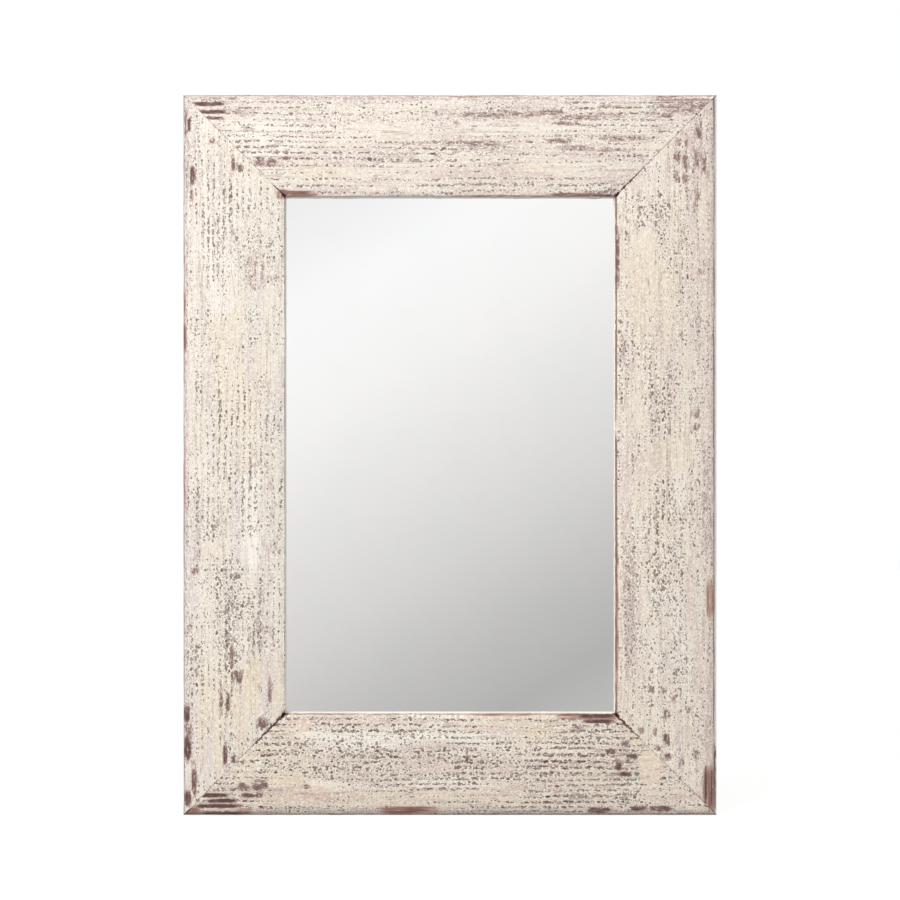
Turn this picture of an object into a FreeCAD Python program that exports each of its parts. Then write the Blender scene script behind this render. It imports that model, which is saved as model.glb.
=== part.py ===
import FreeCAD, Part
import math
import os

# Wooden wall mirror: four mitred boards round a silvered glass, fastened together and hung from behind.
# Millimetres and degrees. X runs to the right as seen from the front, Z runs up, and the front faces -Y.
# The origin is on the bottom edge, halfway along it and halfway through its thickness.

Vector = FreeCAD.Vector
ALONG_X = Vector(1, 0, 0)
ALONG_Y = Vector(0, 1, 0)
ALONG_Z = Vector(0, 0, 1)
ORIGIN = Vector(0, 0, 0)

# One overrun serves every cut that has to pass right through.
overrun = 5.0

# Boards of the frame. Their face swells between edges that are rounded at the front.
frame_width = 600.0
frame_height = 810.0
board_width = 115.0
edge_thickness = 22.0
crown_rise = 3.0
outer_round = 8.0
inner_round = 1.5
back_chamfer = 1.0
rebate_width = 10.0

# The mitres have opened at their sight ends as the wood shrank: each gap is a wedge in the face.
gap_top_left = 0.9
gap_top_right = 1.0
gap_bottom_left = 1.4
gap_bottom_right = 0.8
gap_reach = 70.0
gap_depth = 3.0

# Beech biscuit in each mitre, in a slot that is a little larger all round.
biscuit_length = 56.0
biscuit_width = 23.0
biscuit_tip = 5.0
biscuit_thickness = 3.8
biscuit_forward = 2.0
glue_gap = 0.15
biscuit_place_share = 0.5

# Pressed V-shaped nails across the back of each mitre.
v_nail_leg = 6.0
v_nail_thickness = 0.6
v_nail_depth = 8.0
v_nail_half_angle = 45.0
v_nail_place_shares = (0.3, 0.78)

# Glass and backing lie in the rebate, and rest on its lower wall.
glass_thickness = 4.0
glass_arris = 0.5
backing_thickness = 3.0
backing_corner = 3.0
pane_play = 1.0

# Pan-head screw with a cross recess, the same for buttons and hangers. It repeats, so it is made with flats.
screw_flats = 16
screw_shank = 3.5
screw_length = 15.0
screw_point = 4.0
screw_tip = 0.4
screw_head = 7.6
screw_head_rim = 0.6
screw_shoulder = 6.8
screw_shoulder_height = 1.6
screw_crown = 4.8
screw_head_height = 2.4
recess_length = 4.4
recess_width = 1.0
recess_depth = 1.2

# Stamped turn button: a tapered leaf with an upturned thumb end, turning on its screw.
button_root = 7.0
button_tip = 4.5
button_centres = 24.0
button_thickness = 1.2
button_flat = 22.0
button_bend_inside = 2.0
button_bend_angle = 22.0
button_setback = 9.0
button_spacing = 300.0
button_play = 0.15
pivot_play = 0.2

# Folded hanger strap with a loop at its top, and the D-ring in the loop.
strap_width = 14.0
strap_sheet = 0.9
strap_reach = 52.0
strap_fold_drop = 5.0
strap_screw_first = 28.0
strap_screw_pitch = 16.0
strap_hole_play = 0.2
loop_play = 0.15
hanger_inset = 50.0
hanger_drop = 170.0
ring_wire = 3.0
ring_wire_flats = 12
ring_inner_width = 22.0
ring_corner = 3.5
ring_leg = 6.0
ring_play = 0.3

# Rubber pads that keep the lower corners off the wall.
bumper_diameter = 13.0
bumper_height = 5.5
bumper_bevel = 1.2
bumper_inset = 26.0

# Places that follow from the sizes above.
back_y = edge_thickness / 2
front_y = -edge_thickness / 2
middle_z = frame_height / 2
opening_width = frame_width - 2 * board_width
opening_height = frame_height - 2 * board_width
rebate_depth = glass_thickness + backing_thickness
ledge_y = back_y - rebate_depth
rebate_wall = board_width - rebate_width
mitre_length = board_width * math.sqrt(2)

CORNERS = {
    "top_left": (-1, 1, gap_top_left),
    "top_right": (1, 1, gap_top_right),
    "bottom_left": (-1, -1, gap_bottom_left),
    "bottom_right": (1, -1, gap_bottom_right),
}
SIDES = {"left": -1, "right": 1}


def line(start, end):
    return Part.LineSegment(start, end).toShape()


def arc(start, middle, end):
    return Part.Arc(start, middle, end).toShape()


def prism(edges, travel):
    """A solid swept straight from a closed, flat outline."""
    return Part.Face(Part.Wire(edges)).extrude(travel)


def polygon_prism(points, travel):
    closed = points + points[:1]
    return Part.Face(Part.makePolygon(closed)).extrude(travel)


def lathe(edges, axis_point, axis):
    """A solid turned from an outline that closes along the axis."""
    whole_turn = 360
    return Part.Face(Part.Wire(edges)).revolve(axis_point, axis, whole_turn)


def flats(centre, radius, count, first, second):
    """Corners of an outline with equal flats, in the plane of two directions, at this radius."""
    step = 2 * math.pi / count
    turns = [step * number for number in range(count)]
    return [centre + (first * math.cos(turn) + second * math.sin(turn)) * radius for turn in turns]


def outline_of(points):
    return Part.makePolygon(points + points[:1])


def faceted(rings):
    """A solid skinned over rings of corners, with a flat side between each pair of rings."""
    skin = [Part.Face(outline_of(rings[0])), Part.Face(outline_of(rings[-1]))]
    for low, high in zip(rings, rings[1:]):
        next_low = low[1:] + low[:1]
        next_high = high[1:] + high[:1]
        for corners in zip(low, next_low, next_high, high):
            skin.append(Part.Face(outline_of(list(corners))))
    solid = Part.Solid(Part.makeShell(skin))
    solid.fix(Part.Precision.confusion(), Part.Precision.confusion(), Part.Precision.confusion())
    return solid


# Boards

def face_curve():
    """Radius of the swelling face, and the depth of its centre."""
    radius = (board_width ** 2 / 4 + crown_rise ** 2) / (2 * crown_rise)
    return radius, front_y - crown_rise + radius


def rounded_edge(radius, edge, inward):
    """The rounding between the face and the edge at this height: on the edge, its middle, and on the face."""
    face_radius, face_y = face_curve()
    reach = math.sqrt((face_radius - radius) ** 2 - (board_width / 2 - radius) ** 2)
    centre = Vector(0, face_y - reach, edge + inward * radius)
    on_edge = Vector(0, centre.y, edge)
    face_centre = Vector(0, face_y, board_width / 2)
    on_face = face_centre + (centre - face_centre) * (face_radius / (face_radius - radius))
    between = (on_edge - centre) + (on_face - centre)
    return on_edge, centre + between.normalize() * radius, on_face


def board_section():
    """The moulding's section at X = 0, with its outer edge at Z = 0 and its sight edge at Z = board_width."""
    outer_edge, outer_middle, outer_face = rounded_edge(outer_round, 0, 1)
    inner_edge, inner_middle, inner_face = rounded_edge(inner_round, board_width, -1)
    crown = Vector(0, front_y - crown_rise, board_width / 2)
    lip_back = Vector(0, ledge_y, board_width)
    ledge_root = Vector(0, ledge_y, rebate_wall)
    rebate_mouth = Vector(0, back_y, rebate_wall)
    back_corner = Vector(0, back_y, back_chamfer)
    edge_corner = Vector(0, back_y - back_chamfer, 0)
    return [
        arc(outer_edge, outer_middle, outer_face),
        arc(outer_face, crown, inner_face),
        arc(inner_face, inner_middle, inner_edge),
        line(inner_edge, lip_back),
        line(lip_back, ledge_root),
        line(ledge_root, rebate_mouth),
        line(rebate_mouth, back_corner),
        line(back_corner, edge_corner),
        line(edge_corner, outer_edge),
    ]


def mitred_board(length):
    """A board along X with its outer edge at Z = 0, cut to 45 degrees at both ends."""
    bar = prism(board_section(), ALONG_X * length)
    bar.translate(ALONG_X * (-length / 2))
    nearest = front_y - crown_rise - overrun
    thickness = back_y + overrun - nearest
    half = length / 2
    outline = [
        Vector(-half - overrun, nearest, -overrun),
        Vector(half + overrun, nearest, -overrun),
        Vector(half - board_width - overrun, nearest, board_width + overrun),
        Vector(board_width + overrun - half, nearest, board_width + overrun),
    ]
    return bar.common(polygon_prism(outline, ALONG_Y * thickness))


def placed_board(length, half_span, turn):
    """A board turned about the middle of the frame to its own side of it."""
    board = mitred_board(length)
    board.translate(ALONG_Z * -half_span)
    board.rotate(ORIGIN, ALONG_Y, turn)
    board.translate(ALONG_Z * middle_z)
    return board


# What is let into the mitres

def at_corner(side, level, along, across, depth):
    """A point at a corner: along its mitre from the sight edge, across the mitre, and at a depth in Y."""
    step = math.sqrt(0.5)
    x = side * (opening_width / 2 + (along + across) * step)
    z = middle_z + level * (opening_height / 2 + (along - across) * step)
    return Vector(x, depth, z)


def biscuit(side, level, play):
    """An oval with cut-off tips, half in each board, grown by the play all round."""
    middle = mitre_length * biscuit_place_share
    half = biscuit_length / 2 + play
    bulge = biscuit_width / 2 + play
    tip = biscuit_tip / 2 + play
    thickness = biscuit_thickness + 2 * play
    near = -biscuit_forward - thickness / 2
    inner_low = at_corner(side, level, middle - half, -tip, near)
    inner_high = at_corner(side, level, middle - half, tip, near)
    outer_low = at_corner(side, level, middle + half, -tip, near)
    outer_high = at_corner(side, level, middle + half, tip, near)
    edges = [
        line(inner_low, inner_high),
        arc(inner_high, at_corner(side, level, middle, bulge, near), outer_high),
        line(outer_high, outer_low),
        arc(outer_low, at_corner(side, level, middle, -bulge, near), inner_low),
    ]
    return prism(edges, ALONG_Y * thickness)


def v_nail(side, level, share):
    """A bent strip with its point on the mitre and one leg in each board, flush with the back."""
    point = mitre_length * share
    lean = math.radians(v_nail_half_angle)
    leg_along = v_nail_leg * math.cos(lean)
    leg_across = v_nail_leg * math.sin(lean)
    skin_along = v_nail_thickness * math.sin(lean)
    skin_across = v_nail_thickness * math.cos(lean)
    near = back_y - v_nail_depth
    outline = [
        (point, 0),
        (point - leg_along, leg_across),
        (point - leg_along - skin_along, leg_across - skin_across),
        (point - v_nail_thickness / math.sin(lean), 0),
        (point - leg_along - skin_along, skin_across - leg_across),
        (point - leg_along, -leg_across),
    ]
    points = [at_corner(side, level, along, across, near) for along, across in outline]
    return polygon_prism(points, ALONG_Y * v_nail_depth)


def mitre_gap(side, level, gap):
    """The wedge that is missing where a mitre has opened: widest at the sight edge, gone at gap_reach."""
    near = front_y - crown_rise - overrun
    mouth = gap / 2 * (gap_reach + overrun) / gap_reach
    outline = [(gap_reach, 0), (-overrun, mouth), (-overrun, -mouth)]
    points = [at_corner(side, level, along, across, near) for along, across in outline]
    return polygon_prism(points, ALONG_Y * (front_y + gap_depth - near))


# Glass and backing

def pane(near, thickness):
    """A sheet in the rebate, standing on its lower wall, with play at the sides and the top."""
    width = opening_width + 2 * rebate_width - 2 * pane_play
    height = opening_height + 2 * rebate_width - 2 * pane_play
    return Part.makeBox(width, thickness, height, Vector(-width / 2, near, rebate_wall))


def mirror_glass():
    glass = pane(ledge_y, glass_thickness)
    return glass.makeChamfer(glass_arris, glass.Edges)


def backing_board():
    board = pane(ledge_y + glass_thickness, backing_thickness)
    upright = [edge for edge in board.Edges if edge.BoundBox.YLength > backing_thickness / 2]
    return board.makeFillet(backing_corner, upright)


# Screws

def screw(seat):
    """A screw driven along -Y from the back, with the underside of its head at the seat point."""

    def girth(diameter, level):
        return flats(seat + ALONG_Y * level, diameter / 2, screw_flats, ALONG_X, ALONG_Z)

    shank = faceted([
        girth(screw_tip, -screw_length),
        girth(screw_shank, screw_point - screw_length),
        girth(screw_shank, 0),
    ])
    head = faceted([
        girth(screw_head, 0),
        girth(screw_head, screw_head_rim),
        girth(screw_shoulder, screw_shoulder_height),
        girth(screw_crown, screw_head_height),
    ])
    body = head.fuse(shank)
    floor = screw_head_height - recess_depth
    for wide, high in ((recess_length, recess_width), (recess_width, recess_length)):
        corner = seat + Vector(-wide / 2, floor, -high / 2)
        body = body.cut(Part.makeBox(wide, recess_depth + overrun, high, corner))
    return body


# Turn buttons

def button_side():
    """Side view of the leaf: flat on the back of the frame, then bent up at its thumb end."""
    bend = math.radians(button_bend_angle)
    inside = button_bend_inside
    outside = button_bend_inside + button_thickness
    run = button_centres + button_tip - button_flat
    slope = Vector(math.cos(bend), math.sin(bend), 0) * run
    centre = Vector(button_flat, outside, 0)

    def on_bend(radius, angle):
        return centre + Vector(math.sin(angle), -math.cos(angle), 0) * radius

    heel_low = ALONG_X * -button_root
    heel_high = heel_low + ALONG_Y * button_thickness
    low_end = on_bend(outside, bend)
    high_end = on_bend(inside, bend)
    return [
        line(heel_low, on_bend(outside, 0)),
        arc(on_bend(outside, 0), on_bend(outside, bend / 2), low_end),
        line(low_end, low_end + slope),
        line(low_end + slope, high_end + slope),
        line(high_end + slope, high_end),
        arc(high_end, on_bend(inside, bend / 2), on_bend(inside, 0)),
        line(on_bend(inside, 0), heel_high),
        line(heel_high, heel_low),
    ]


def button_plan():
    """Plan of the leaf: a round root and a smaller round tip, joined by their tangents."""
    taper = math.asin((button_root - button_tip) / button_centres)
    root = Vector(math.sin(taper), 0, math.cos(taper)) * button_root
    tip = Vector(math.sin(taper), 0, math.cos(taper)) * button_tip + ALONG_X * button_centres
    root_low = Vector(root.x, 0, -root.z)
    tip_low = Vector(tip.x, 0, -tip.z)
    return [
        arc(root_low, ALONG_X * -button_root, root),
        line(root, tip),
        arc(tip, ALONG_X * (button_centres + button_tip), tip_low),
        line(tip_low, root_low),
    ]


def turn_button():
    """The leaf with its pivot at the origin, its underside at Y = 0 and its tip towards +X."""
    sheet = prism(button_side(), ALONG_Z * (2 * button_root))
    sheet.translate(ALONG_Z * -button_root)
    height = button_thickness + button_centres
    leaf = sheet.common(prism(button_plan(), ALONG_Y * height))
    bore = screw_shank / 2 + pivot_play
    return leaf.cut(Part.makeCylinder(bore, button_thickness, ORIGIN, ALONG_Y))


def button_places():
    """Pivot and direction of each turn button. At 0 degrees a leaf points along +X, and 90 turns it down."""
    across = opening_width / 2 + rebate_width + button_setback
    up = opening_height / 2 + rebate_width + button_setback
    lift = button_spacing / 2
    return {
        "turn_button_left_upper": (Vector(-across, back_y, middle_z + lift), 0),
        "turn_button_left_lower": (Vector(-across, back_y, middle_z - lift), 0),
        "turn_button_right_upper": (Vector(across, back_y, middle_z + lift), 180),
        "turn_button_right_lower": (Vector(across, back_y, middle_z - lift), 180),
        "turn_button_top": (Vector(0, back_y, middle_z + up), 90),
        "turn_button_bottom": (Vector(0, back_y, middle_z - up), -90),
    }


# Hangers

loop_inside = ring_wire / 2 + loop_play
loop_outside = loop_inside + strap_sheet
strap_thickness = 2 * strap_sheet
hanger_z = frame_height - hanger_drop
loop_y = back_y + loop_outside
strap_face = back_y + strap_thickness


def hanger_x(side):
    return side * (frame_width / 2 - hanger_inset)


def strap_screw_seats(side):
    first = Vector(hanger_x(side), strap_face, hanger_z - strap_screw_first)
    return [first, first - ALONG_Z * strap_screw_pitch]


def hanger_strap(side):
    """A strip folded double round the ring's bar: its side view, cut to a rounded plan, with its holes."""
    left = hanger_x(side) - strap_width / 2
    bottom = hanger_z - strap_reach
    loop = Vector(left, loop_y, hanger_z)
    fold = Vector(left, strap_face, hanger_z - strap_fold_drop)
    to_fold = fold - loop
    opening = math.acos(loop_outside / to_fold.Length)
    towards = FreeCAD.Rotation(ALONG_X, math.degrees(opening)).multVec(to_fold).normalize()
    leaves = loop + towards * loop_outside
    wood_low = Vector(left, back_y, bottom)
    wood_high = Vector(left, back_y, hanger_z)
    face_low = Vector(left, strap_face, bottom)
    side_view = [
        line(wood_low, wood_high),
        arc(wood_high, loop + ALONG_Z * loop_outside, leaves),
        line(leaves, fold),
        line(fold, face_low),
        line(face_low, wood_low),
    ]
    strap = prism(side_view, ALONG_X * strap_width)
    half = strap_width / 2
    centre = Vector(hanger_x(side), back_y, bottom + half)
    top = hanger_z + loop_outside + overrun
    plan = [
        arc(centre - ALONG_X * half, centre - ALONG_Z * half, centre + ALONG_X * half),
        line(centre + ALONG_X * half, Vector(centre.x + half, back_y, top)),
        line(Vector(centre.x + half, back_y, top), Vector(centre.x - half, back_y, top)),
        line(Vector(centre.x - half, back_y, top), centre - ALONG_X * half),
    ]
    strap = strap.common(prism(plan, ALONG_Y * (2 * loop_outside + overrun)))
    strap = strap.cut(Part.makeCylinder(loop_inside, strap_width, loop, ALONG_X))
    for seat in strap_screw_seats(side):
        foot = Vector(seat.x, back_y, seat.z)
        hole = Part.makeCylinder(screw_shank / 2 + strap_hole_play, strap_thickness, foot, ALONG_Y)
        strap = strap.cut(hole)
    return strap


def ring_lean():
    """How far the hanging ring is held off plumb, because its bow rests on the strap."""
    reach = ring_leg + (ring_inner_width + ring_wire) / 2
    lift = strap_face + ring_play + ring_wire / 2 - loop_y
    return math.degrees(math.asin(max(0, lift) / reach))


def hanger_ring(side):
    """A bent wire: a straight bar in the strap's loop, two short legs and a half-round bow."""
    half = (ring_inner_width + ring_wire) / 2
    bar = half - ring_corner
    tuck = ring_corner * (1 - math.sqrt(0.5))
    bow_side = half * math.sqrt(0.5)
    bow_end = Vector(0, 0, -ring_leg - half)
    path = Part.Wire([
        line(Vector(-bar, 0, 0), Vector(bar, 0, 0)),
        arc(Vector(bar, 0, 0), Vector(half - tuck, 0, -tuck), Vector(half, 0, -ring_corner)),
        line(Vector(half, 0, -ring_corner), Vector(half, 0, -ring_leg)),
        arc(Vector(half, 0, -ring_leg), Vector(bow_side, 0, -ring_leg - bow_side), bow_end),
        arc(bow_end, Vector(-bow_side, 0, -ring_leg - bow_side), Vector(-half, 0, -ring_leg)),
        line(Vector(-half, 0, -ring_leg), Vector(-half, 0, -ring_corner)),
        arc(Vector(-half, 0, -ring_corner), Vector(tuck - half, 0, -tuck), Vector(-bar, 0, 0)),
    ])
    wire_end = flats(Vector(-bar, 0, 0), ring_wire / 2, ring_wire_flats, ALONG_Y, ALONG_Z)
    ring = path.makePipeShell([outline_of(wire_end)], True, False)
    ring.rotate(ORIGIN, ALONG_X, ring_lean())
    ring.translate(Vector(hanger_x(side), loop_y, hanger_z))
    return ring


# Wall bumpers

def wall_bumper(side):
    """A turned pad with a bevelled rim and a flat face towards the wall."""
    foot = Vector(side * (frame_width / 2 - bumper_inset), back_y, bumper_inset)
    radius = bumper_diameter / 2
    rim_low = foot + ALONG_X * radius
    rim_high = foot + Vector(radius, bumper_height - bumper_bevel, 0)
    face_edge = foot + Vector(radius - bumper_bevel, bumper_height, 0)
    face_middle = foot + ALONG_Y * bumper_height
    return lathe([
        line(foot, rim_low),
        line(rim_low, rim_high),
        line(rim_high, face_edge),
        line(face_edge, face_middle),
        line(face_middle, foot),
    ], foot, ALONG_Y)


# The assembly

parts = {
    "bottom_rail": placed_board(frame_width, frame_height / 2, 0),
    "right_stile": placed_board(frame_height, frame_width / 2, -90),
    "top_rail": placed_board(frame_width, frame_height / 2, 180),
    "left_stile": placed_board(frame_height, frame_width / 2, 90),
}
boards = list(parts)
cuts = []

v_nails = []
for corner, (side, level, gap) in CORNERS.items():
    parts["mitre_biscuit_" + corner] = biscuit(side, level, 0)
    cuts.append(biscuit(side, level, glue_gap))
    cuts.append(mitre_gap(side, level, gap))
    v_nails += [v_nail(side, level, share) for share in v_nail_place_shares]
parts["mitre_v_nails"] = Part.makeCompound(v_nails)

parts["mirror_glass"] = mirror_glass()
parts["backing_board"] = backing_board()

button_screws = []
for name, (pivot, turn) in button_places().items():
    button = turn_button()
    button.rotate(ORIGIN, ALONG_Y, turn)
    button.translate(pivot + ALONG_Y * button_play)
    parts[name] = button
    button_screws.append(screw(pivot + ALONG_Y * (button_thickness + 2 * button_play)))
parts["turn_button_screws"] = Part.makeCompound(button_screws)

hanger_screws = []
for name, side in SIDES.items():
    parts["hanger_strap_" + name] = hanger_strap(side)
    parts["hanger_ring_" + name] = hanger_ring(side)
    parts["wall_bumper_" + name] = wall_bumper(side)
    hanger_screws += [screw(seat) for seat in strap_screw_seats(side)]
parts["hanger_screws"] = Part.makeCompound(hanger_screws)

cuts += v_nails + button_screws + hanger_screws
for name in boards:
    parts[name] = parts[name].cut(cuts)

os.makedirs("parts", exist_ok=True)
for name, shape in parts.items():
    shape.exportStep(os.path.join("parts", name + ".step"))
    print(name, len(shape.Solids), "solids,", round(shape.Volume), "mm3, valid", shape.isValid())
print("ring leans", round(ring_lean(), 2), "degrees, loop axis at", round(loop_y, 3), round(hanger_z, 3))
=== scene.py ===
# %% [markdown]
# # A wooden wall mirror
# Four mitred pine boards hold a silvered glass. They were painted cream over a brown stain, then brushed
# and rubbed back, so the stain shows through in rows of flecks along the grain.
# This lesson dresses the finished construction: it rebuilds the boards with a worn surface and gives
# every other piece its own finish. Work in the same frame throughout, in metres, with the front
# facing -Y, so that each new piece lands where the construction has it.

# %% Load the construction
import math

import bpy
import numpy as np
from mathutils import Euler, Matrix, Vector


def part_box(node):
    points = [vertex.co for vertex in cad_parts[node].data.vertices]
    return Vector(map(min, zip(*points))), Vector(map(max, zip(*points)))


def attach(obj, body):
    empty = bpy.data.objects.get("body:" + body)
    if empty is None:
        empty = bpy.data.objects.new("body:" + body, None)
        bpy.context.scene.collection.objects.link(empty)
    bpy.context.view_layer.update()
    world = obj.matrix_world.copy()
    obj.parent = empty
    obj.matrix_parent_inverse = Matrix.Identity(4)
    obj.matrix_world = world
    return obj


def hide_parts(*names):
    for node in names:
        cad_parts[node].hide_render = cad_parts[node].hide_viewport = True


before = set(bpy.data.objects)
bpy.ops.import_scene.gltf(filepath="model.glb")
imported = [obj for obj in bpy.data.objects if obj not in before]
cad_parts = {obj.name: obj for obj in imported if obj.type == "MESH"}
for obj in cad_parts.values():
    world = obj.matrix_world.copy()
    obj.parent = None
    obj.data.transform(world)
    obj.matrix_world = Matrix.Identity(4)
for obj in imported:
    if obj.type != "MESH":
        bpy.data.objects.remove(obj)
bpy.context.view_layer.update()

MM = 0.001

# %% [markdown]
# Every size that the boards share with the glass and the backing is read from the construction, so that
# nothing has to be fitted later. Only the small roundings are given here, because a box can't tell them.

# %% Sizes read from the construction
outer_low, outer_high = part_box("bottom_rail")
glass_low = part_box("mirror_glass")[0]
frame_width = outer_high.x - outer_low.x
frame_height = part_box("top_rail")[1].z
board_width = outer_high.z - outer_low.z
back_y = outer_high.y
ledge_y = glass_low.y
rebate_wall = glass_low.z
middle_z = frame_height / 2

edge_y = -back_y
crown_rise = 3 * MM
face_y = edge_y - crown_rise
outer_round = 8 * MM
inner_round = 1.5 * MM
back_chamfer = 1 * MM
print("boards", round(board_width / MM), "mm wide, crown", round(crown_rise / MM, 1), "mm")

# %% [markdown]
# A photograph of a product is usually taken from far away with a long lens, so that upright edges stay
# upright. The camera looks straight along +Y from three metres. One picture width covers a known length at
# the frame, and the lens follows from that and the distance.

# %% Camera
camera_distance = 3.0
pixel = 1.1266 * MM
picture_width = 900 * pixel
picture_drop = 5 * pixel
sensor = 36.0

camera_data = bpy.data.cameras.new("camera")
camera_data.sensor_width = sensor
camera_data.lens = sensor * camera_distance / picture_width
camera = bpy.data.objects.new("camera", camera_data)
camera.location = (0, -camera_distance, middle_z + picture_drop)
camera.rotation_euler = (math.pi / 2, 0, 0)
bpy.context.scene.collection.objects.link(camera)
bpy.context.scene.camera = camera
bpy.context.scene.view_settings.view_transform = "Standard"
print("lens", round(camera_data.lens, 1), "mm")


# %% [markdown]
# Small helpers serve every finish. Colours are written as they look on a screen, and the shader wants them in
# linear light, so one function turns a hex value round. Another adds a node, sets it up and joins it to what
# comes before it: a value, a colour or another node can be handed in for any socket. Three short ones call it
# for the nodes that come up most: arithmetic, a ramp between two limits, and one hue laid over another.

# %% Helpers for finishes
def colour(hex_text):
    """A hex sRGB colour as linear red, green, blue and alpha."""
    parts = [int(hex_text[i:i + 2], 16) / 255 for i in (1, 3, 5)]
    return [p / 12.92 if p <= 0.04045 else ((p + 0.055) / 1.055) ** 2.4 for p in parts] + [1]


def add(tree, kind, inputs, **settings):
    """A new node of this kind. Its inputs are values, sockets, or nodes whose first output is meant."""
    node = tree.nodes.new("ShaderNode" + kind)
    for name, value in settings.items():
        setattr(node, name, value)
    for key, value in inputs.items():
        if isinstance(value, bpy.types.Node):
            value = value.outputs[0]
        if isinstance(value, bpy.types.NodeSocket):
            tree.links.new(value, node.inputs[key])
        else:
            node.inputs[key].default_value = value
    return node


def new_finish(name):
    """An empty material, its node tree and its shader."""
    material = bpy.data.materials.new(name)
    material.use_nodes = True
    tree = material.node_tree
    return material, tree, tree.nodes["Principled BSDF"]


def calc(tree, operation, *values, **settings):
    """A Math node that works on these values."""
    return add(tree, "Math", dict(enumerate(values)), operation=operation, **settings)


def ramp(tree, value, start, end, high=1.0, low=0.0):
    """A MapRange node: low where the value is at its start and high where it is at its end."""
    limits = {"From Min": start, "From Max": end, "To Min": low, "To Max": high}
    return add(tree, "MapRange", {"Value": value, **limits})


def mix(tree, share, under, over):
    """One hue laid over another by its share."""
    return add(tree, "MixRGB", {0: share, 1: under, 2: over})


print("red of #808080 in linear light:", round(colour("#808080")[0], 3))

# %% [markdown]
# The background is white and the light is that of a studio: a large soft lamp at the upper left and an
# even glow from all round. The mirror shows what stands before it, which in such a room is a pale
# wall that turns from white above to grey below. The world carries that wall: a ray is judged by how far it
# points down and to the right, and a row of greys gives its brightness.

# %% Studio
world = bpy.data.worlds.new("studio")
bpy.context.scene.world = world
world.use_nodes = True
sky = world.node_tree
sky.nodes.clear()

room_glow = 0.73
floor_lift = 0.64
wall_slant = 0.57
WALL_GREYS = {
    -1.200: "#c6c6c5",
    -0.700: "#f0efef",
    -0.350: "#d4d4d3",
    -0.128: "#f3f2f2",
    -0.083: "#ffffff",
    -0.040: "#f9f8f7",
    0.000: "#eae9e8",
    0.038: "#dbdad8",
    0.075: "#c7c6c4",
    0.109: "#b6b6b4",
    0.128: "#bebebc",
    0.320: "#dededc",
    0.640: "#b2b2b0",
    0.950: "#dcdcda",
    1.300: "#b6b6b4",
}
wall_span = max(WALL_GREYS) - min(WALL_GREYS)
ray = add(sky, "SeparateXYZ", {0: add(sky, "TexCoord", {}).outputs["Generated"]})
aside = calc(sky, "MULTIPLY", ray.outputs["X"], wall_slant)
lower = calc(sky, "SUBTRACT", aside, ray.outputs["Z"])
wall_share = ramp(sky, lower, min(WALL_GREYS), max(WALL_GREYS))
wall = add(sky, "ValToRGB", {0: wall_share})
for stop, (place, grey) in enumerate(WALL_GREYS.items()):
    elements = wall.color_ramp.elements
    element = elements[stop] if stop < 2 else elements.new(1)
    element.position = (place - min(WALL_GREYS)) / wall_span
    element.color = colour(grey)
path = add(sky, "LightPath", {})
behind = ramp(sky, ray.outputs["Y"], -0.1, 0.1)
white = calc(sky, "MAXIMUM", behind, path.outputs["Is Camera Ray"])
backdrop = mix(sky, white, wall.outputs["Color"], colour("#ffffff"))
seen = path.outputs["Is Camera Ray"]
for kind in ("Is Glossy Ray", "Is Transmission Ray"):
    seen = calc(sky, "MAXIMUM", seen, path.outputs[kind])
glow = add(sky, "Background", {"Color": colour("#ffffff"), "Strength": room_glow})
shown = add(sky, "Background", {"Color": backdrop, "Strength": 1.0})
both = add(sky, "MixShader", {0: seen, 1: glow, 2: shown})
add(sky, "OutputWorld", {"Surface": both})

lamp_data = bpy.data.lights.new("soft_lamp", "AREA")
lamp_data.shape = "SQUARE"
lamp_data.size = 1.4
lamp_data.energy = 63
lamp = bpy.data.objects.new("soft_lamp", lamp_data)
lamp.location = (-1.4, -2.2, 2.2)
lamp.rotation_euler = (Vector((0, 0, middle_z)) - lamp.location).to_track_quat("-Z", "Y").to_euler()
bpy.context.scene.collection.objects.link(lamp)

bpy.ops.object.select_all(action="DESELECT")
bpy.ops.mesh.primitive_plane_add(size=12)
floor = bpy.context.object
floor.name = "floor"
floor.visible_glossy = False
floor_finish, tree, shader = new_finish("white_floor")
shader.inputs["Base Color"].default_value = colour("#b8b8b8")
shader.inputs["Roughness"].default_value = 0.9
seen = add(tree, "LightPath", {}).outputs["Is Camera Ray"]
lift = add(tree, "Emission", {"Color": colour("#ffffff"), "Strength": floor_lift})
lifted = add(tree, "AddShader", {0: shader, 1: lift})
floor_mix = add(tree, "MixShader", {0: seen, 1: shader, 2: lifted})
tree.links.new(floor_mix.outputs[0], tree.nodes["Material Output"].inputs["Surface"])
floor.data.materials.append(floor_finish)
print("wall greys:", len(WALL_GREYS), "lamp", lamp_data.energy, "W")


# %% [markdown]
# ## The boards
# A real board is planed to its moulding and then cut to a mitre at each end. It is modelled in the same
# order. First its section is traced: straight runs are extruded from one vertex, and each arc is spun about
# its own centre. The face is a very flat arc, so that it swells between its two rounded edges.

# %% Trace the section
def fresh_vertex(name, place):
    """A mesh of one selected vertex at this place, in edit mode."""
    bpy.ops.object.select_all(action="DESELECT")
    bpy.ops.mesh.primitive_plane_add(size=MM, location=place)
    piece = bpy.context.object
    piece.name = name
    bpy.ops.object.transform_apply()
    bpy.ops.object.mode_set(mode="EDIT")
    bpy.ops.mesh.select_mode(type="VERT")
    bpy.ops.mesh.select_all(action="SELECT")
    bpy.ops.mesh.merge(type="CENTER")
    return piece


def draw_line(start, end, steps):
    """Extrudes the selected vertex from start to end in equal steps."""
    for _ in range(steps):
        bpy.ops.mesh.extrude_region_move(TRANSFORM_OT_translate={"value": (end - start) / steps})
    return end


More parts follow.
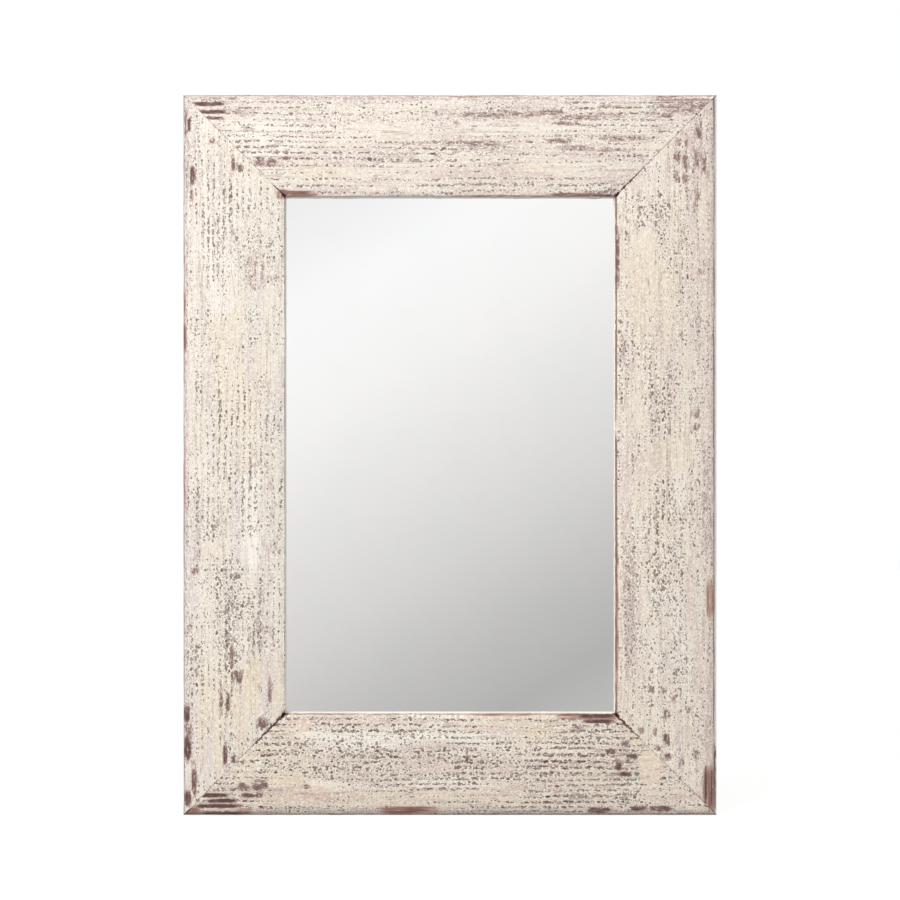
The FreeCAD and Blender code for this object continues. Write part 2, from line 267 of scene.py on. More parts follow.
def draw_arc(start, centre, end, steps):
    """Spins the selected vertex about a centre, in the plane of the section. Spin turns against its axis."""
    first, last = start - centre, end - centre
    turn = math.atan2(first.cross(last).x, first.dot(last))
    bpy.ops.mesh.spin(steps=steps, angle=-turn, center=centre, axis=(1, 0, 0))
    return end


face_radius = (board_width ** 2 / 4 + crown_rise ** 2) / (2 * crown_rise)
face_centre = Vector((0, face_y + face_radius, board_width / 2))


def rounding(radius, edge, inward):
    """Centre of an edge's rounding, and where it meets the edge and the face."""
    reach = math.sqrt((face_radius - radius) ** 2 - (board_width / 2 - radius) ** 2)
    centre = Vector((0, face_centre.y - reach, edge + inward * radius))
    on_edge = Vector((0, centre.y, edge))
    on_face = face_centre + (centre - face_centre) * face_radius / (face_radius - radius)
    return centre, on_edge, on_face


FACE_STEPS = 92
ROUND_STEPS = 8


def trace_section(name, left_end):
    """The moulding's section at the board's left end, as one closed face."""
    shift = Vector((left_end, 0, 0))
    outer_centre, outer_edge, outer_face = rounding(outer_round, 0, 1)
    inner_centre, inner_edge, inner_face = rounding(inner_round, board_width, -1)
    corners = [
        (Vector((0, ledge_y, board_width)), 4),
        (Vector((0, ledge_y, rebate_wall)), 2),
        (Vector((0, back_y, rebate_wall)), 2),
        (Vector((0, back_y, back_chamfer)), 16),
        (Vector((0, back_y - back_chamfer, 0)), 1),
        (outer_edge, 6),
    ]
    piece = fresh_vertex(name, outer_edge + shift)
    place = draw_arc(outer_edge + shift, outer_centre + shift, outer_face + shift, ROUND_STEPS)
    place = draw_arc(place, face_centre + shift, inner_face + shift, FACE_STEPS)
    place = draw_arc(place, inner_centre + shift, inner_edge + shift, ROUND_STEPS)
    for corner, steps in corners:
        place = draw_line(place, corner + shift, steps)
    bpy.ops.mesh.select_all(action="SELECT")
    bpy.ops.mesh.remove_doubles(threshold=0.01 * MM)
    bpy.ops.mesh.edge_face_add()
    return piece


print("face radius", round(face_radius / MM), "mm")

# %% [markdown]
# The section is extruded to the board's length and bisected at 45 degrees at both ends, which leaves
# true mitres. The mitres of the real frame have opened a little at the sight edge as the wood shrank. So the
# front lip of each cut is pulled back, most at the sight edge and less along the mitre, which is what
# a move with proportional editing does. After that the long edges are subdivided, and only
# then, because a cut through many short rows would fold them.

# %% Extrude, mitre and divide
gap_reach = 70 * MM
gap_depth = 1.4 * MM
MITRE_GAPS = {"top_left": 0.9 * MM, "top_right": 1 * MM, "bottom_left": 1.4 * MM, "bottom_right": 0.8 * MM}
ROW_CUTS = (20, 20)


def choose(piece, test, kind="VERT"):
    """Selects the vertices, edges or faces that pass a test, and nothing else. Returns how many."""
    bpy.ops.mesh.select_mode(type=kind)
    bpy.ops.mesh.select_all(action="DESELECT")
    bpy.ops.object.mode_set(mode="OBJECT")
    mesh = piece.data
    found = {"VERT": mesh.vertices, "EDGE": mesh.edges, "FACE": mesh.polygons}[kind]
    count = 0
    for item in found:
        item.select = test(item)
        count += item.select
    bpy.ops.object.mode_set(mode="EDIT")
    return count


def pick(piece):
    """Selects one piece, and makes it the active one."""
    bpy.ops.object.select_all(action="DESELECT")
    piece.select_set(True)
    bpy.context.view_layer.objects.active = piece


def runs_along(piece, edge):
    """Whether an edge lies along the board."""
    step = piece.data.vertices[edge.vertices[1]].co - piece.data.vertices[edge.vertices[0]].co
    return abs(step.x) > 0.999 * step.length


def make_board(name, length, gap_left, gap_right):
    """A mitred board along X, with its outer edge at Z = 0 and its sight edge at Z = board_width."""
    half = length / 2
    piece = trace_section(name, -half)
    bpy.ops.mesh.select_all(action="SELECT")
    bpy.ops.mesh.extrude_region_move(TRANSFORM_OT_translate={"value": (length, 0, 0)})
    for side in (-1, 1):
        bpy.ops.mesh.select_all(action="SELECT")
        bpy.ops.mesh.bisect(
            plane_co=(side * half, 0, 0), plane_no=(side, 0, 1), use_fill=True, clear_outer=True)
    bpy.ops.mesh.select_all(action="SELECT")
    bpy.ops.mesh.bisect(plane_co=(0, edge_y + gap_depth, 0), plane_no=(0, 1, 0))
    for side, gap in ((-1, gap_left), (1, gap_right)):
        choose(piece, lambda v: v.co.y < edge_y + gap_depth - 0.1 * MM and v.co.x * side > 0)
        bpy.ops.mesh.hide(unselected=True)
        choose(piece, lambda v: v.co.z > board_width - 0.01 * MM and not v.hide)
        bpy.ops.transform.translate(
            value=(-side * gap / math.sqrt(2), 0, 0), use_proportional_edit=True,
            proportional_edit_falloff="LINEAR", proportional_size=gap_reach)
        bpy.ops.mesh.reveal(select=False)
    for cuts in ROW_CUTS:
        choose(piece, lambda edge: runs_along(piece, edge), "EDGE")
        bpy.ops.mesh.subdivide(number_cuts=cuts)
    bpy.ops.mesh.select_all(action="SELECT")
    bpy.ops.mesh.normals_make_consistent(inside=False)
    bpy.ops.object.mode_set(mode="OBJECT")
    return piece


BOARDS = {
    "top_rail": (frame_width, "top_right", "top_left", math.pi),
    "bottom_rail": (frame_width, "bottom_left", "bottom_right", 0),
    "left_stile": (frame_height, "top_left", "bottom_left", math.pi / 2),
    "right_stile": (frame_height, "bottom_right", "top_right", -math.pi / 2),
}
boards = {}
for node, (length, left_corner, right_corner, turn) in BOARDS.items():
    board = make_board("worn_" + node, length, MITRE_GAPS[left_corner], MITRE_GAPS[right_corner])
    half_span = (frame_height if length == frame_width else frame_width) / 2
    board.rotation_euler = Euler((0, turn, 0))
    board.location = Vector((0, 0, middle_z)) - board.rotation_euler.to_matrix() @ Vector((0, 0, half_span))
    pick(board)
    bpy.ops.object.transform_apply()
    boards[node] = board
    print(node, len(board.data.polygons), "faces")

# %% [markdown]
# ## Where the paint has gone
# The paint is worn where hands, brushes and knocks have been, and no noise pattern knows those places.
# So the marks are listed one by one, board by board, as a person would chalk them on: how far along the board
# from its middle, how far across it from the outer edge, how long, how wide, and how strong, in millimetres.
# Each vertex keeps the strongest mark over it in an attribute, which the paint reads later. "worn" lets the
# brown stain through, "bare" goes down to reddish wood, and "busy" gathers flecks, or below zero clears them.
# Two more are broad and faint: "warm" yellows the cream, or below zero bleaches it, and "rosy" is a pink haze
# of stain that was wiped along the grain.

# %% Marks chalked on the boards
WORN_MARKS = {
    "top_rail": [
        (-268, 6, 26, 3, 0.55), (-271, 11, 38, 5, 0.95), (-266, 20, 32, 5, 0.95), (-264, 27, 21, 4, 0.85),
        (-234, 20, 36, 9, 0.45), (-226, 40, 12, 7, 0.6), (-213, 77, 12, 8, 0.68), (-200, 77, 13, 9, 0.68),
        (-185, 72, 9, 5, 0.7), (-38, 56, 27, 5, 0.5), (23, 56, 72, 7, 0.55), (55, 23, 110, 6, 0.6),
        (35, 26, 70, 5, 0.4), (23, 64, 68, 5, 0.35), (114, 21, 34, 6, 0.7), (146, 26, 54, 6, 0.6),
        (132, 33, 34, 5, 0.6), (177, 24, 38, 7, 0.5), (181, 14, 29, 5, 0.5), (124, 53, 32, 7, 0.62),
        (142, 61, 41, 6, 0.62), (195, 50, 56, 6, 0.6), (181, 63, 29, 5, 0.6), (214, 70, 41, 3, 0.4),
        (262, 15, 62, 13, 0.55), (285, 14, 14, 6, 0.72), (226, 22, 14, 6, 0.6), (243, 24, 14, 6, 0.65),
        (243, 2, 30, 2, 0.7), (178, 103, 18, 20, 0.3), (-40, 4, 400, 5, 0.44), (-262, 4, 66, 5, 0.5),
        (262, 6, 64, 3, 0.62), (171, 114, 26, 3, 0.95),
    ],
    "bottom_rail": [
        (-265, 23, 34, 5, 1), (-256, 17, 34, 5, 1), (-261, 11, 54, 5, 1), (-253, 2, 61, 4, 0.9),
        (-227, 23, 17, 5, 0.9), (-214, 23, 9, 5, 0.8), (-231, 32, 14, 9, 0.75), (-213, 34, 19, 14, 0.75),
        (-161, 33, 9, 7, 0.6), (-293, 5, 15, 9, 0.7), (-194, 70, 51, 5, 0.45), (168, 6, 29, 8, 0.8),
        (211, 8, 20, 7, 0.85), (237, 8, 26, 7, 0.85), (-37, 27, 29, 6, 0.35), (144, 98, 15, 8, 0.5),
        (180, 72, 12, 6, 0.85), (189, 57, 8, 13, 0.85), (196, 47, 14, 6, 0.95), (204, 67, 15, 6, 0.85),
        (198, 80, 13, 8, 0.68), (139, 19, 38, 11, 0.35), (165, 112, 44, 5, 1), (168, 106, 36, 5, 1),
    ],
    "left_stile": [
        (345, 4, 100, 6, 0.44), (373, 3, 36, 5, 0.7), (371, 7, 16, 5, 0.9), (314, 11, 22, 6, 0.9),
        (326, 57, 17, 5, 0.74), (321, 64, 10, 6, 0.74), (353, 34, 8, 7, 0.65), (292, 10, 14, 4, 0.7),
        (206, 76, 44, 7, 0.4), (208, 83, 45, 5, 0.45), (207, 90, 37, 5, 0.4), (203, 96, 29, 3, 0.35),
        (202, 106, 32, 5, 0.35), (250, 53, 25, 20, 0.3), (-110, 17, 29, 9, 0.4), (-130, 14, 9, 9, 0.7),
        (-81, 43, 20, 16, 0.4), (-197, 50, 123, 7, 0.25), (-227, 56, 26, 6, 0.7), (-249, 62, 18, 12, 0.7),
        (-137, 61, 7, 8, 0.6), (-278, 43, 27, 5, 0.7), (-278, 51, 27, 5, 0.8), (-265, 98, 32, 5, 0.6),
        (-291, 4, 20, 9, 0.93), (-308, 6, 14, 10, 0.7), (-329, 5, 30, 10, 0.93), (-336, 48, 26, 5, 0.9),
        (-341, 57, 10, 5, 0.9), (-301, 90, 14, 12, 0.8), (0, 3, 600, 4, 0.38), (-366, 13, 36, 6, 0.8),
        (-385, 5, 20, 10, 0.9), (-194, 8, 11, 8, 0.6), (-193, 86, 14, 10, 0.4),
    ],
    "right_stile": [
        (350, 44, 10, 7, 0.62), (336, 45, 14, 8, 0.68), (352, 35, 18, 4, 0.6), (329, 36, 17, 7, 0.68),
        (312, 45, 12, 7, 0.62), (310, 36, 11, 8, 0.68), (363, 21, 17, 8, 0.72), (331, 23, 24, 7, 0.68),
        (327, 15, 22, 7, 0.62), (292, 22, 14, 8, 0.6), (277, 25, 11, 7, 0.5), (244, 40, 27, 8, 0.4),
        (206, 18, 9, 9, 0.5), (133, 40, 11, 7, 0.5), (47, 24, 11, 11, 0.55), (32, 24, 11, 9, 0.6),
        (152, 21, 45, 7, 0.3), (118, 106, 32, 7, 0.5), (220, 112, 72, 5, 0.7), (-101, 113, 56, 5, 0.6),
        (-263, 73, 10, 6, 0.6), (-265, 59, 9, 6, 0.6), (-310, 85, 10, 6, 0.7), (-319, 57, 15, 8, 0.8),
        (-339, 56, 11, 8, 0.75), (-329, 67, 7, 7, 0.7), (-310, 70, 10, 6, 0.65), (-291, 57, 13, 7, 0.7),
        (-286, 32, 9, 6, 0.6), (-274, 49, 9, 6, 0.6), (-346, 40, 11, 7, 0.65), (-350, 65, 7, 7, 0.7),
        (-337, 23, 14, 7, 0.55), (-57, 11, 125, 12, 0.32), (-175, 99, 140, 14, 0.4), (-373, 13, 48, 3, 1),
        (-373, 6, 48, 3, 1), (-360, 2, 70, 3, 0.8),
    ],
}
BARE_MARKS = {
    "top_rail": [
        (-172, 112, 38, 6, 0.9), (-191, 110, 14, 6, 0.9), (142, 114, 59, 5, 0.85), (97, 115, 171, 3, 0.55),
        (262, 6, 64, 2.5, 0.5), (17, 2, 34, 2, 0.5),
    ],
    "bottom_rail": [
        (-46, 6, 56, 8, 0.9), (138, 112, 32, 6, 0.8), (61, 114, 63, 4, 0.6), (-135, 115, 68, 2, 0.4),
        (168, 109, 38, 9, 0.5), (-291, 5, 19, 9, 0.7), (-231, 6, 16, 5, 0.5),
    ],
    "left_stile": [
        (171, 1, 25, 3, 0.6), (132, 1, 30, 4, 1.0), (220, 1, 9, 2, 0.6), (292, 110, 9, 9, 0.7),
        (-20, 1, 73, 2, 0.5),
    ],
    "right_stile": [
        (-162, 8, 40, 9, 0.5), (-376, 8, 46, 14, 0.8), (-197, 113, 158, 4, 0.5),
    ],
}
BUSY_MARKS = {
    "top_rail": [
        (-208, 63, 79, 25, 0.5), (-68, 21, 135, 17, 0.35), (-56, 66, 113, 32, 0.35),
        (-158, 39, 45, 68, 0.15), (-79, 104, 90, 18, 0.2), (-96, 86, 192, 16, -0.8),
        (-73, 40, 124, 18, -0.3), (54, 39, 107, 18, -0.7), (135, 87, 158, 12, -0.9), (45, 75, 90, 12, 0.35),
        (180, 36, 68, 17, 0.1), (172, 105, 39, 19, 0.6), (169, 12, 90, 14, 0.4), (214, 63, 45, 20, 0.1),
        (23, 10, 158, 12, -0.1), (73, 102, 146, 14, 0.1),
    ],
    "bottom_rail": [
        (-130, 104, 68, 23, 0.5), (-90, 81, 158, 17, 0.2), (-84, 55, 146, 32, 0.45), (45, 90, 113, 25, 0.05),
        (84, 57, 192, 37, 0.45), (144, 87, 84, 29, 0.5), (192, 55, 45, 41, 0.7), (224, 57, 20, 32, -1.8),
        (-186, 29, 101, 25, -0.7), (-6, 26, 259, 20, -0.2), (-192, 61, 56, 27, 0.4),
        (-169, 103, 23, 26, -0.6), (-130, 13, 146, 7, 0.2), (169, 29, 90, 16, 0.4), (56, 109, 135, 14, -0.2),
        (248, 15, 68, 25, -0.2),
    ],
    "left_stile": [
        (253, 45, 72, 52, 0.45), (242, 93, 36, 43, 0.3), (214, 11, 146, 16, -0.2), (178, 96, 18, 38, -1.2),
        (173, 48, 25, 58, -0.3), (-107, 80, 27, 30, -1.2), (-105, 39, 18, 29, -0.7),
        (-188, 50, 140, 35, 0.75), (-205, 50, 100, 6, 1.4), (-192, 83, 79, 30, 0.45),
        (-237, 13, 56, 21, 0.5), (-50, 60, 88, 81, 0.25), (-274, 67, 27, 96, -0.3), (-245, 83, 39, 35, -0.7),
        (-310, 28, 90, 19, -0.5), (79, 48, 146, 46, 0.1), (90, 99, 101, 32, -0.2),
    ],
    "right_stile": [
        (274, 74, 36, 43, 0.6), (190, 82, 113, 28, -0.7), (210, 58, 92, 20, 0.2), (155, 61, 39, 43, -0.4),
        (114, 98, 104, 17, 0.35), (70, 60, 110, 37, 0.6), (0, 56, 34, 54, -0.7), (-117, 61, 142, 35, 0.85),
        (-118, 94, 90, 26, 0.3), (-239, 61, 97, 65, 0.35), (-101, 24, 192, 13, 0.25), (51, 89, 68, 22, -0.3),
        (211, 31, 72, 35, 0.2), (-34, 41, 34, 24, -0.3), (-220, 31, 113, 26, -0.1),
    ],
}
WARM_MARKS = {
    "top_rail": [
        (-148, 84, 60, 20, 0.7), (49, 89, 140, 30, 0.6), (226, 51, 75, 28, 0.3), (-210, 54, 85, 45, -0.6),
        (60, 39, 118, 16, -0.35),
    ],
    "bottom_rail": [
        (-210, 52, 110, 80, 0.7), (113, 93, 70, 20, 0.8), (220, 72, 45, 45, 0.6), (224, 57, 24, 34, 0.55),
        (-52, 85, 220, 20, -0.9), (-38, 105, 110, 12, -0.4), (-20, 37, 400, 9, -0.5),
        (256, 94, 50, 32, -0.4),
    ],
    "left_stile": [
        (87, 58, 145, 62, 0.7), (-4, 70, 52, 28, 0.5), (-262, 58, 60, 110, 0.9), (-310, 38, 100, 70, 1.0),
        (211, 44, 130, 35, -0.5), (-70, 74, 100, 24, -0.8), (-107, 78, 36, 30, -1), (340, 70, 60, 60, 0.3),
    ],
    "right_stile": [
        (178, 72, 110, 48, 0.6), (-17, 61, 115, 28, 0.45), (-39, 54, 40, 30, -0.4),
        (-197, 50, 115, 40, -0.5), (312, 80, 60, 40, -0.3), (-285, 84, 50, 40, 0.3),
    ],
}
ROSY_MARKS = {
    "top_rail": [
        (73, 21, 190, 13, 0.7), (264, 14, 66, 24, 1), (-36, 64, 40, 22, 0.4), (-150, 6, 200, 10, 0.3),
        (60, 57, 90, 16, 0.4), (195, 52, 70, 16, 0.4), (20, 104, 130, 12, 0.3), (-250, 14, 90, 28, 0.8),
    ],
    "bottom_rail": [
        (4, 59, 330, 30, 0.6), (136, 24, 38, 16, 0.7), (-30, 13, 300, 12, 0.3), (180, 60, 60, 30, 0.4),
        (130, 70, 120, 18, 0.5), (224, 57, 22, 34, -1.2),
    ],
    "left_stile": [
        (208, 88, 50, 40, 0.45), (-76, 12, 110, 18, 0.5), (-178, 47, 90, 28, 0.45), (-180, 88, 90, 24, 0.4),
        (268, 15, 80, 24, 0.35), (345, 9, 100, 18, 1), (30, 100, 120, 16, 0.3), (130, 104, 90, 14, 0.35),
    ],
    "right_stile": [
        (155, 20, 270, 22, 0.75), (225, 42, 80, 12, 0.45), (118, 98, 52, 18, 0.7), (67, 61, 60, 28, 0.4),
        (-22, 92, 80, 16, 0.5), (-57, 11, 130, 18, 1), (-166, 100, 155, 16, 0.9), (-247, 15, 80, 20, 0.7),
        (330, 26, 70, 36, 1), (372, 12, 50, 20, 1), (-118, 62, 60, 20, 0.3),
    ],
}

# %% [markdown]
# The mitres have their own wear. Glue and dirt have stained both lips of each cut, broadly at the sight
# corner and less along the cut, and farther out the paint has cracked along the joint in a broken line. Those
# points are found by their distance from the cut, and two waves make the rim of the stain ragged. A stain has
# its length along the cut and its width, in millimetres.

# %% Chalk the marks
MITRE_STAINS = {
    "top_left": (13, 1.3), "top_right": (34, 1.3), "bottom_left": (38, 2.1), "bottom_right": (26, 1.9),
}
crack_wear = 0.66
crack_half = 0.5
crack_from = 14
squareness = 3.5
mark_end = 1.4
mark_fade = 0.7
ENDS = {
    "top_rail": ("top_left", "top_right"),
    "bottom_rail": ("bottom_left", "bottom_right"),
    "left_stile": ("bottom_left", "top_left"),
    "right_stile": ("bottom_right", "top_right"),
}


def board_places(node):
    """Along (to the right or up), across and depth of each vertex of a board, in millimetres."""
    mesh = boards[node].data
    flat = np.zeros(len(mesh.vertices) * 3)
    mesh.vertices.foreach_get("co", flat)
    x, y, z = flat.reshape(-1, 3).T / MM
    width, height = frame_width / MM, frame_height / MM
    places = {
        "top_rail": (x, height - z),
        "bottom_rail": (x, z),
        "left_stile": (z - height / 2, x + width / 2),
        "right_stile": (z - height / 2, width / 2 - x),
    }
    return (*places[node], y)


def mitre_wear(node):
    """How far the lips of both cuts have lost their paint, for each vertex: most at the cut itself."""
    along, across, _ = board_places(node)
    half = np.abs(along).max()
    wear = np.zeros(len(along))
    start = 2 * list(ENDS).index(node)
    ragged = 0.8 + 0.3 * np.sin(0.8 * across + start) + 0.3 * np.sin(1.9 * across + 2 * start)
    for side, corner in zip((-1, 1), ENDS[node]):
        reach, width = MITRE_STAINS[corner]
        from_cut = (half - side * along - across) / math.sqrt(2)
        taper = np.clip((across - board_width / MM + reach) / reach, 0, 1) ** 0.5
        stain = np.clip(2.2 - 1.4 * from_cut / (ragged * width * taper + 0.01), 0, 1.2) * (taper > 0.1)
        crack = crack_wear * (from_cut < crack_half) * (across > crack_from)
        wear = np.maximum(wear, np.maximum(stain, crack))
    return wear


def chalk(node, name, marks):
    """Writes the marks to a vertex attribute: full inside a mark, and fading over its rim."""
    along, across, _ = board_places(node)
    amount = np.zeros(len(along))
    for centre, level, length, width, strength in marks:
        aside, beyond = np.abs(along - centre) * 2 / length, np.abs(across - level) * 2 / width
        reach = (aside ** squareness + beyond ** squareness) ** (1 / squareness)
        share = np.clip((mark_end - reach) / mark_fade, 0, 1) * strength
        amount = np.where(np.abs(share) > np.abs(amount), share, amount)
    if name == "worn":
        amount = np.maximum(amount, mitre_wear(node))
    attribute = boards[node].data.attributes.new(name, "FLOAT", "POINT")
    attribute.data.foreach_set("value", amount.astype(np.float32))
    return amount


MARKS = {"worn": WORN_MARKS, "bare": BARE_MARKS, "busy": BUSY_MARKS, "warm": WARM_MARKS, "rosy": ROSY_MARKS}
chalked = {}
for name, marks in MARKS.items():
    chalked[name] = {node: chalk(node, name, marks[node]) for node in boards}
worn, bare = chalked["worn"], chalked["bare"]
for node in boards:
    print(node, "worn", round(100 * float((worn[node] > 0.1).mean()), 1), "percent of its points")

# %% [markdown]
# A wire brush takes soft wood from between the hard rings, so the face is lightly furrowed along the grain,
# and each worn mark lies a little lower than the paint round it. That is real shape and not only shading, so
# the points are moved. A Displace modifier does it, with a cloud texture that an empty stretches along
# the grain. Its mid level lies above the cloud, so wood is only ever taken away and the board keeps its size.
# The face is sunk straight back, so that the mitres stay closed below their lips. Knocks on the
# outer and the sight edge come from a coarser cloud, and the backs are sunk a hair for the saw's marks.

# %% Brush, knock and sink the surface
furrow_depth = 0.35 * MM
knock_depth = 0.9 * MM
worn_depth = 0.4 * MM
bare_depth = 0.6 * MM
saw_depth = 0.3 * MM
lip_depth = 0.4 * MM
above_cloud = 1.25
front_fade = 3.0
outer_rim = (9, 4)
sight_rim = (110, 3)
TIP_WEAR = {"top_left": 0.8, "top_right": 1.5, "bottom_left": 2.4, "bottom_right": 1.2}
tip_reach = 9
tip_depth = max(TIP_WEAR.values()) * MM
SINKS = (
    ("furrows", furrow_depth, "Y", (38, 3.4), 1.2), ("knocks", knock_depth, "NORMAL", (16, 7), 2.2),
    ("worn_through", worn_depth, "Y", None, 1), ("rubbed_bare", bare_depth, "Y", None, 1),
    ("mitre_lips", lip_depth, "Y", (4, 4), 2.0), ("tips", tip_depth, "NORMAL", None, 1),
    ("sawn", saw_depth, "NORMAL", (3, 9), 0.8),
)


def weigh(board, name, weights):
    """A vertex group that holds these weights, one for each vertex."""
    group = board.vertex_groups.new(name=name)
    for index in np.nonzero(weights > 0.01)[0]:
        group.add([int(index)], float(weights[index]), "REPLACE")


def sink(board, name, depth, way, stretch=None, contrast=1.0):
    """Takes wood away inside a vertex group: evenly, or by a cloud stretched to these sizes in mm."""
    modifier = board.modifiers.new(name, "DISPLACE")
    modifier.vertex_group = name
    modifier.direction = way
    modifier.mid_level = 0.0
    modifier.strength = depth if way == "Y" else -depth
    if stretch:
        bpy.ops.object.empty_add()
        ruler = bpy.context.object
        ruler.scale = [size * MM for size in stretch]
        cloud = bpy.data.textures.new(name, "CLOUDS")
        cloud.noise_scale = 1.0
        cloud.contrast = contrast
        modifier.texture = cloud
        modifier.texture_coords = "OBJECT"
        modifier.texture_coords_object = ruler
        modifier.mid_level = above_cloud
        modifier.strength = -modifier.strength
    pick(board)
    bpy.context.view_layer.update()
    bpy.ops.object.modifier_apply(modifier=name)
    if stretch:
        bpy.data.objects.remove(ruler)


def tip_wear(node):
    """How far the two corners at the sight edge have been rounded off, for each vertex."""
    along, across, _ = board_places(node)
    tip_at = np.abs(along).max() - board_width / MM
    wear = np.zeros(len(along))
    for side, corner in zip((-1, 1), ENDS[node]):
        away = np.hypot(along - side * tip_at, across - board_width / MM)
        wear += np.clip(1 - away / tip_reach, 0, 1) ** 1.5 * TIP_WEAR[corner] * MM / tip_depth
    return wear


for node, board in boards.items():
    along, across, depth = board_places(node)
    grain_axis = 0 if "rail" in node else 2
    front = np.clip((-front_fade - depth) / front_fade, 0, 1)
    above_cut = np.clip((edge_y + gap_depth) / MM - 0.2 - depth, 0, 1)
    on_rim = np.clip((outer_rim[0] - across) / outer_rim[1], 0, 1)
    on_rim += np.clip((across - sight_rim[0]) / sight_rim[1], 0, 1)
    weigh(board, "furrows", front)
    weigh(board, "knocks", front * on_rim)
    weigh(board, "worn_through", front * np.clip(worn[node], 0, 1))
    weigh(board, "rubbed_bare", front * np.clip(bare[node], 0, 1))
    weigh(board, "mitre_lips", above_cut * np.clip(mitre_wear(node), 0, 1))
    weigh(board, "tips", above_cut * tip_wear(node))
    weigh(board, "sawn", (depth > back_y / MM - 0.1).astype(float))
    for name, sink_depth, way, sizes, contrast in SINKS:
        stretch = [sizes[0] if axis == grain_axis else sizes[1] for axis in range(3)] if sizes else None
        sink(board, name, sink_depth, way, stretch, contrast)
    bpy.ops.object.shade_smooth_by_angle(angle=math.radians(40))
    low = min(vertex.co.y for vertex in board.data.vertices)
    print(node, "front now at", round(low / MM, 2), "mm")

# %% [markdown]
# The finish comes in layers, as on the real board. Brown stain went on first and cream paint over it, and a
# wire brush and sandpaper took the paint off the grain again. Each layer is a mask: stretched noise for the
# grain and the smears, and three sizes of cells for the flecks, each cell with a spot of its own size. A wave
# across the grain gathers the flecks in rows, and the chalked marks raise or lower every threshold. Object
# coordinates are turned by a Mapping node, so that one set of nodes fits all four boards, and depth is taken
# from the distance across, which unrolls the edge onto the same flat pattern as the face.

# %% Helpers for patterns
def per_mm(along, across, deep=1):
    """Scale that makes one unit of a pattern this long, this wide and this deep, in millimetres."""
    return 1 / (along * MM), 1 / (across * MM), 1 / (deep * MM)


def stretch_to(tree, place, sizes, shift):
    """A place measured in these sizes in millimetres, and shifted so that no two patterns agree."""
    return add(tree, "VectorMath", {0: place, 1: per_mm(*sizes), 2: shift}, operation="MULTIPLY_ADD")


def clouds(tree, place, sizes, shift, detail, dimensions="2D"):
    """Noise with lumps of these sizes in millimetres."""
    inputs = {"Vector": stretch_to(tree, place, sizes, shift), "Scale": 1.0, "Detail": detail}
    return add(tree, "TexNoise", inputs, noise_dimensions=dimensions)


def cells(tree, place, sizes, shift, randomness=1.0):
    """Cells of these sizes in millimetres, each with a colour and the distance from its middle."""
    inputs = {"Vector": stretch_to(tree, place, sizes, shift), "Scale": 1.0, "Randomness": randomness}
    return add(tree, "TexVoronoi", inputs, voronoi_dimensions="2D")


def summed(tree, start, *parts):
    """The start and each part times its weight."""
    for source, weight in parts:
        start = calc(tree, "MULTIPLY_ADD", source, weight, start)
    return start


def on_board(tree, place, turn):
    """Along, depth and across of a board turned about Y and moved so that its outer edge is at zero."""
    where = add(tree, "TexCoord", {}).outputs["Object"]
    board = add(tree, "Mapping", {"Vector": where, "Rotation": (0, turn, 0), "Location": place})
    return add(tree, "SeparateXYZ", {0: board}).outputs


def feed(tree, shader, nodes):
    """Joins each node to the shader's socket of that name."""
    for socket, node in nodes.items():
        tree.links.new(node.outputs[0], shader.inputs[socket])


print("a pattern of 2 mm has a scale of", round(per_mm(2, 2)[0]))

# %% [markdown]
# The sizes of the patterns are given first, along and across in millimetres with their detail. The fleck
# sizes have two more values: how rare they are, and how much of its cell the largest spot fills. Each mask
# has a start, an end and a share, and the hues are listed in the order in which they are laid on. The limits
# of the rim, the verge, the painted light margin and the wall are distances across the board, and those of
# the front, the lip and the shade lift are depths. Three layers are painted light: the pale rim round each
# fleck is a painted highlight, the painted light margin brightens the outer rounding of the right stile, and
# the wall layer lifts the shade on the inner wall and the foot of the sight rounding. Each board then has its
# place, its turn and its seed, how many flecks it shows and how far they keep to rows, the wear and width of
# its sight lip, and where its outer line lies.

# %% Painted pine
row_spacing = 6.6 * MM
row_drift = 9.0
row_limits = (0.36, 0.64)
fleck_level = -1.46
fleck_wobble = 3 * MM
spot_limits = (-0.03, 0.07)
highlight_rim_limits = (-0.28, -0.06)
rim_limits = (14 * MM, 2 * MM)
turned_limits = (0.3 * MM, 2.5 * MM)
verge_half = 0.9 * MM
painted_light_reach = 1.6 * MM
front_limits = (-2 * MM, -3.5 * MM)
lip_limits = (-7 * MM, -8.5 * MM)
shade_lift_limits = (-10.2 * MM, -9.2 * MM)
wall_reach = 0.5 * MM
PAINT_PATTERNS = {
    "drift": (150, 34, 2),
    "blush": (130, 16, 2),
    "zone": (50, 20, 2),
    "grain": (120, 1.5, 2),
    "lane": (150, 8, 1),
    "hair": (130, 7, 1),
    "smear": (10, 3.4, 2),
    "stipple": (2.7, 2.2, 1),
    "patch": (9, 4, 2),
    "fibre": (34, 1.8, 3),
    "speck": (2.2, 1.8, 2),
    "edge": (50, 3.0, 3),
    "order": (150, 60, 1),
}
FLECKS = ((3.0, 2.5, 0.77, 0.40), (5.4, 3.5, 0.61, 0.38), (10.0, 5.8, 0.93, 0.34))
MASKS = {
    "drift": (0.40, 0.62, 1.0),
    "warm": (0.0, 1.0, 0.55),
    "bleached": (0.0, -1.0, 0.75),
    "blush": (0.48, 0.70, 0.95),
    "grain": (0.48, 0.66, 0.25),
    "thin": (0.50, 0.72, 0.5),
    "thick": (0.48, 0.30, 0.7),
    "hair": (0.035, 0.0, 0.7),
    "smear": (0.66, 0.71, 0.78),
    "rub": (0.42, 0.66, 0.7),
    "line": (0.36, 0.60, 0.9),
    "chip": (0.79, 0.89, 1.0),
    "arris": (0.44, 0.60, 0.95),
    "soaked": (0.05, 0.45, 0.62),
    "strip": (0.60, 0.82, 0.95),
}
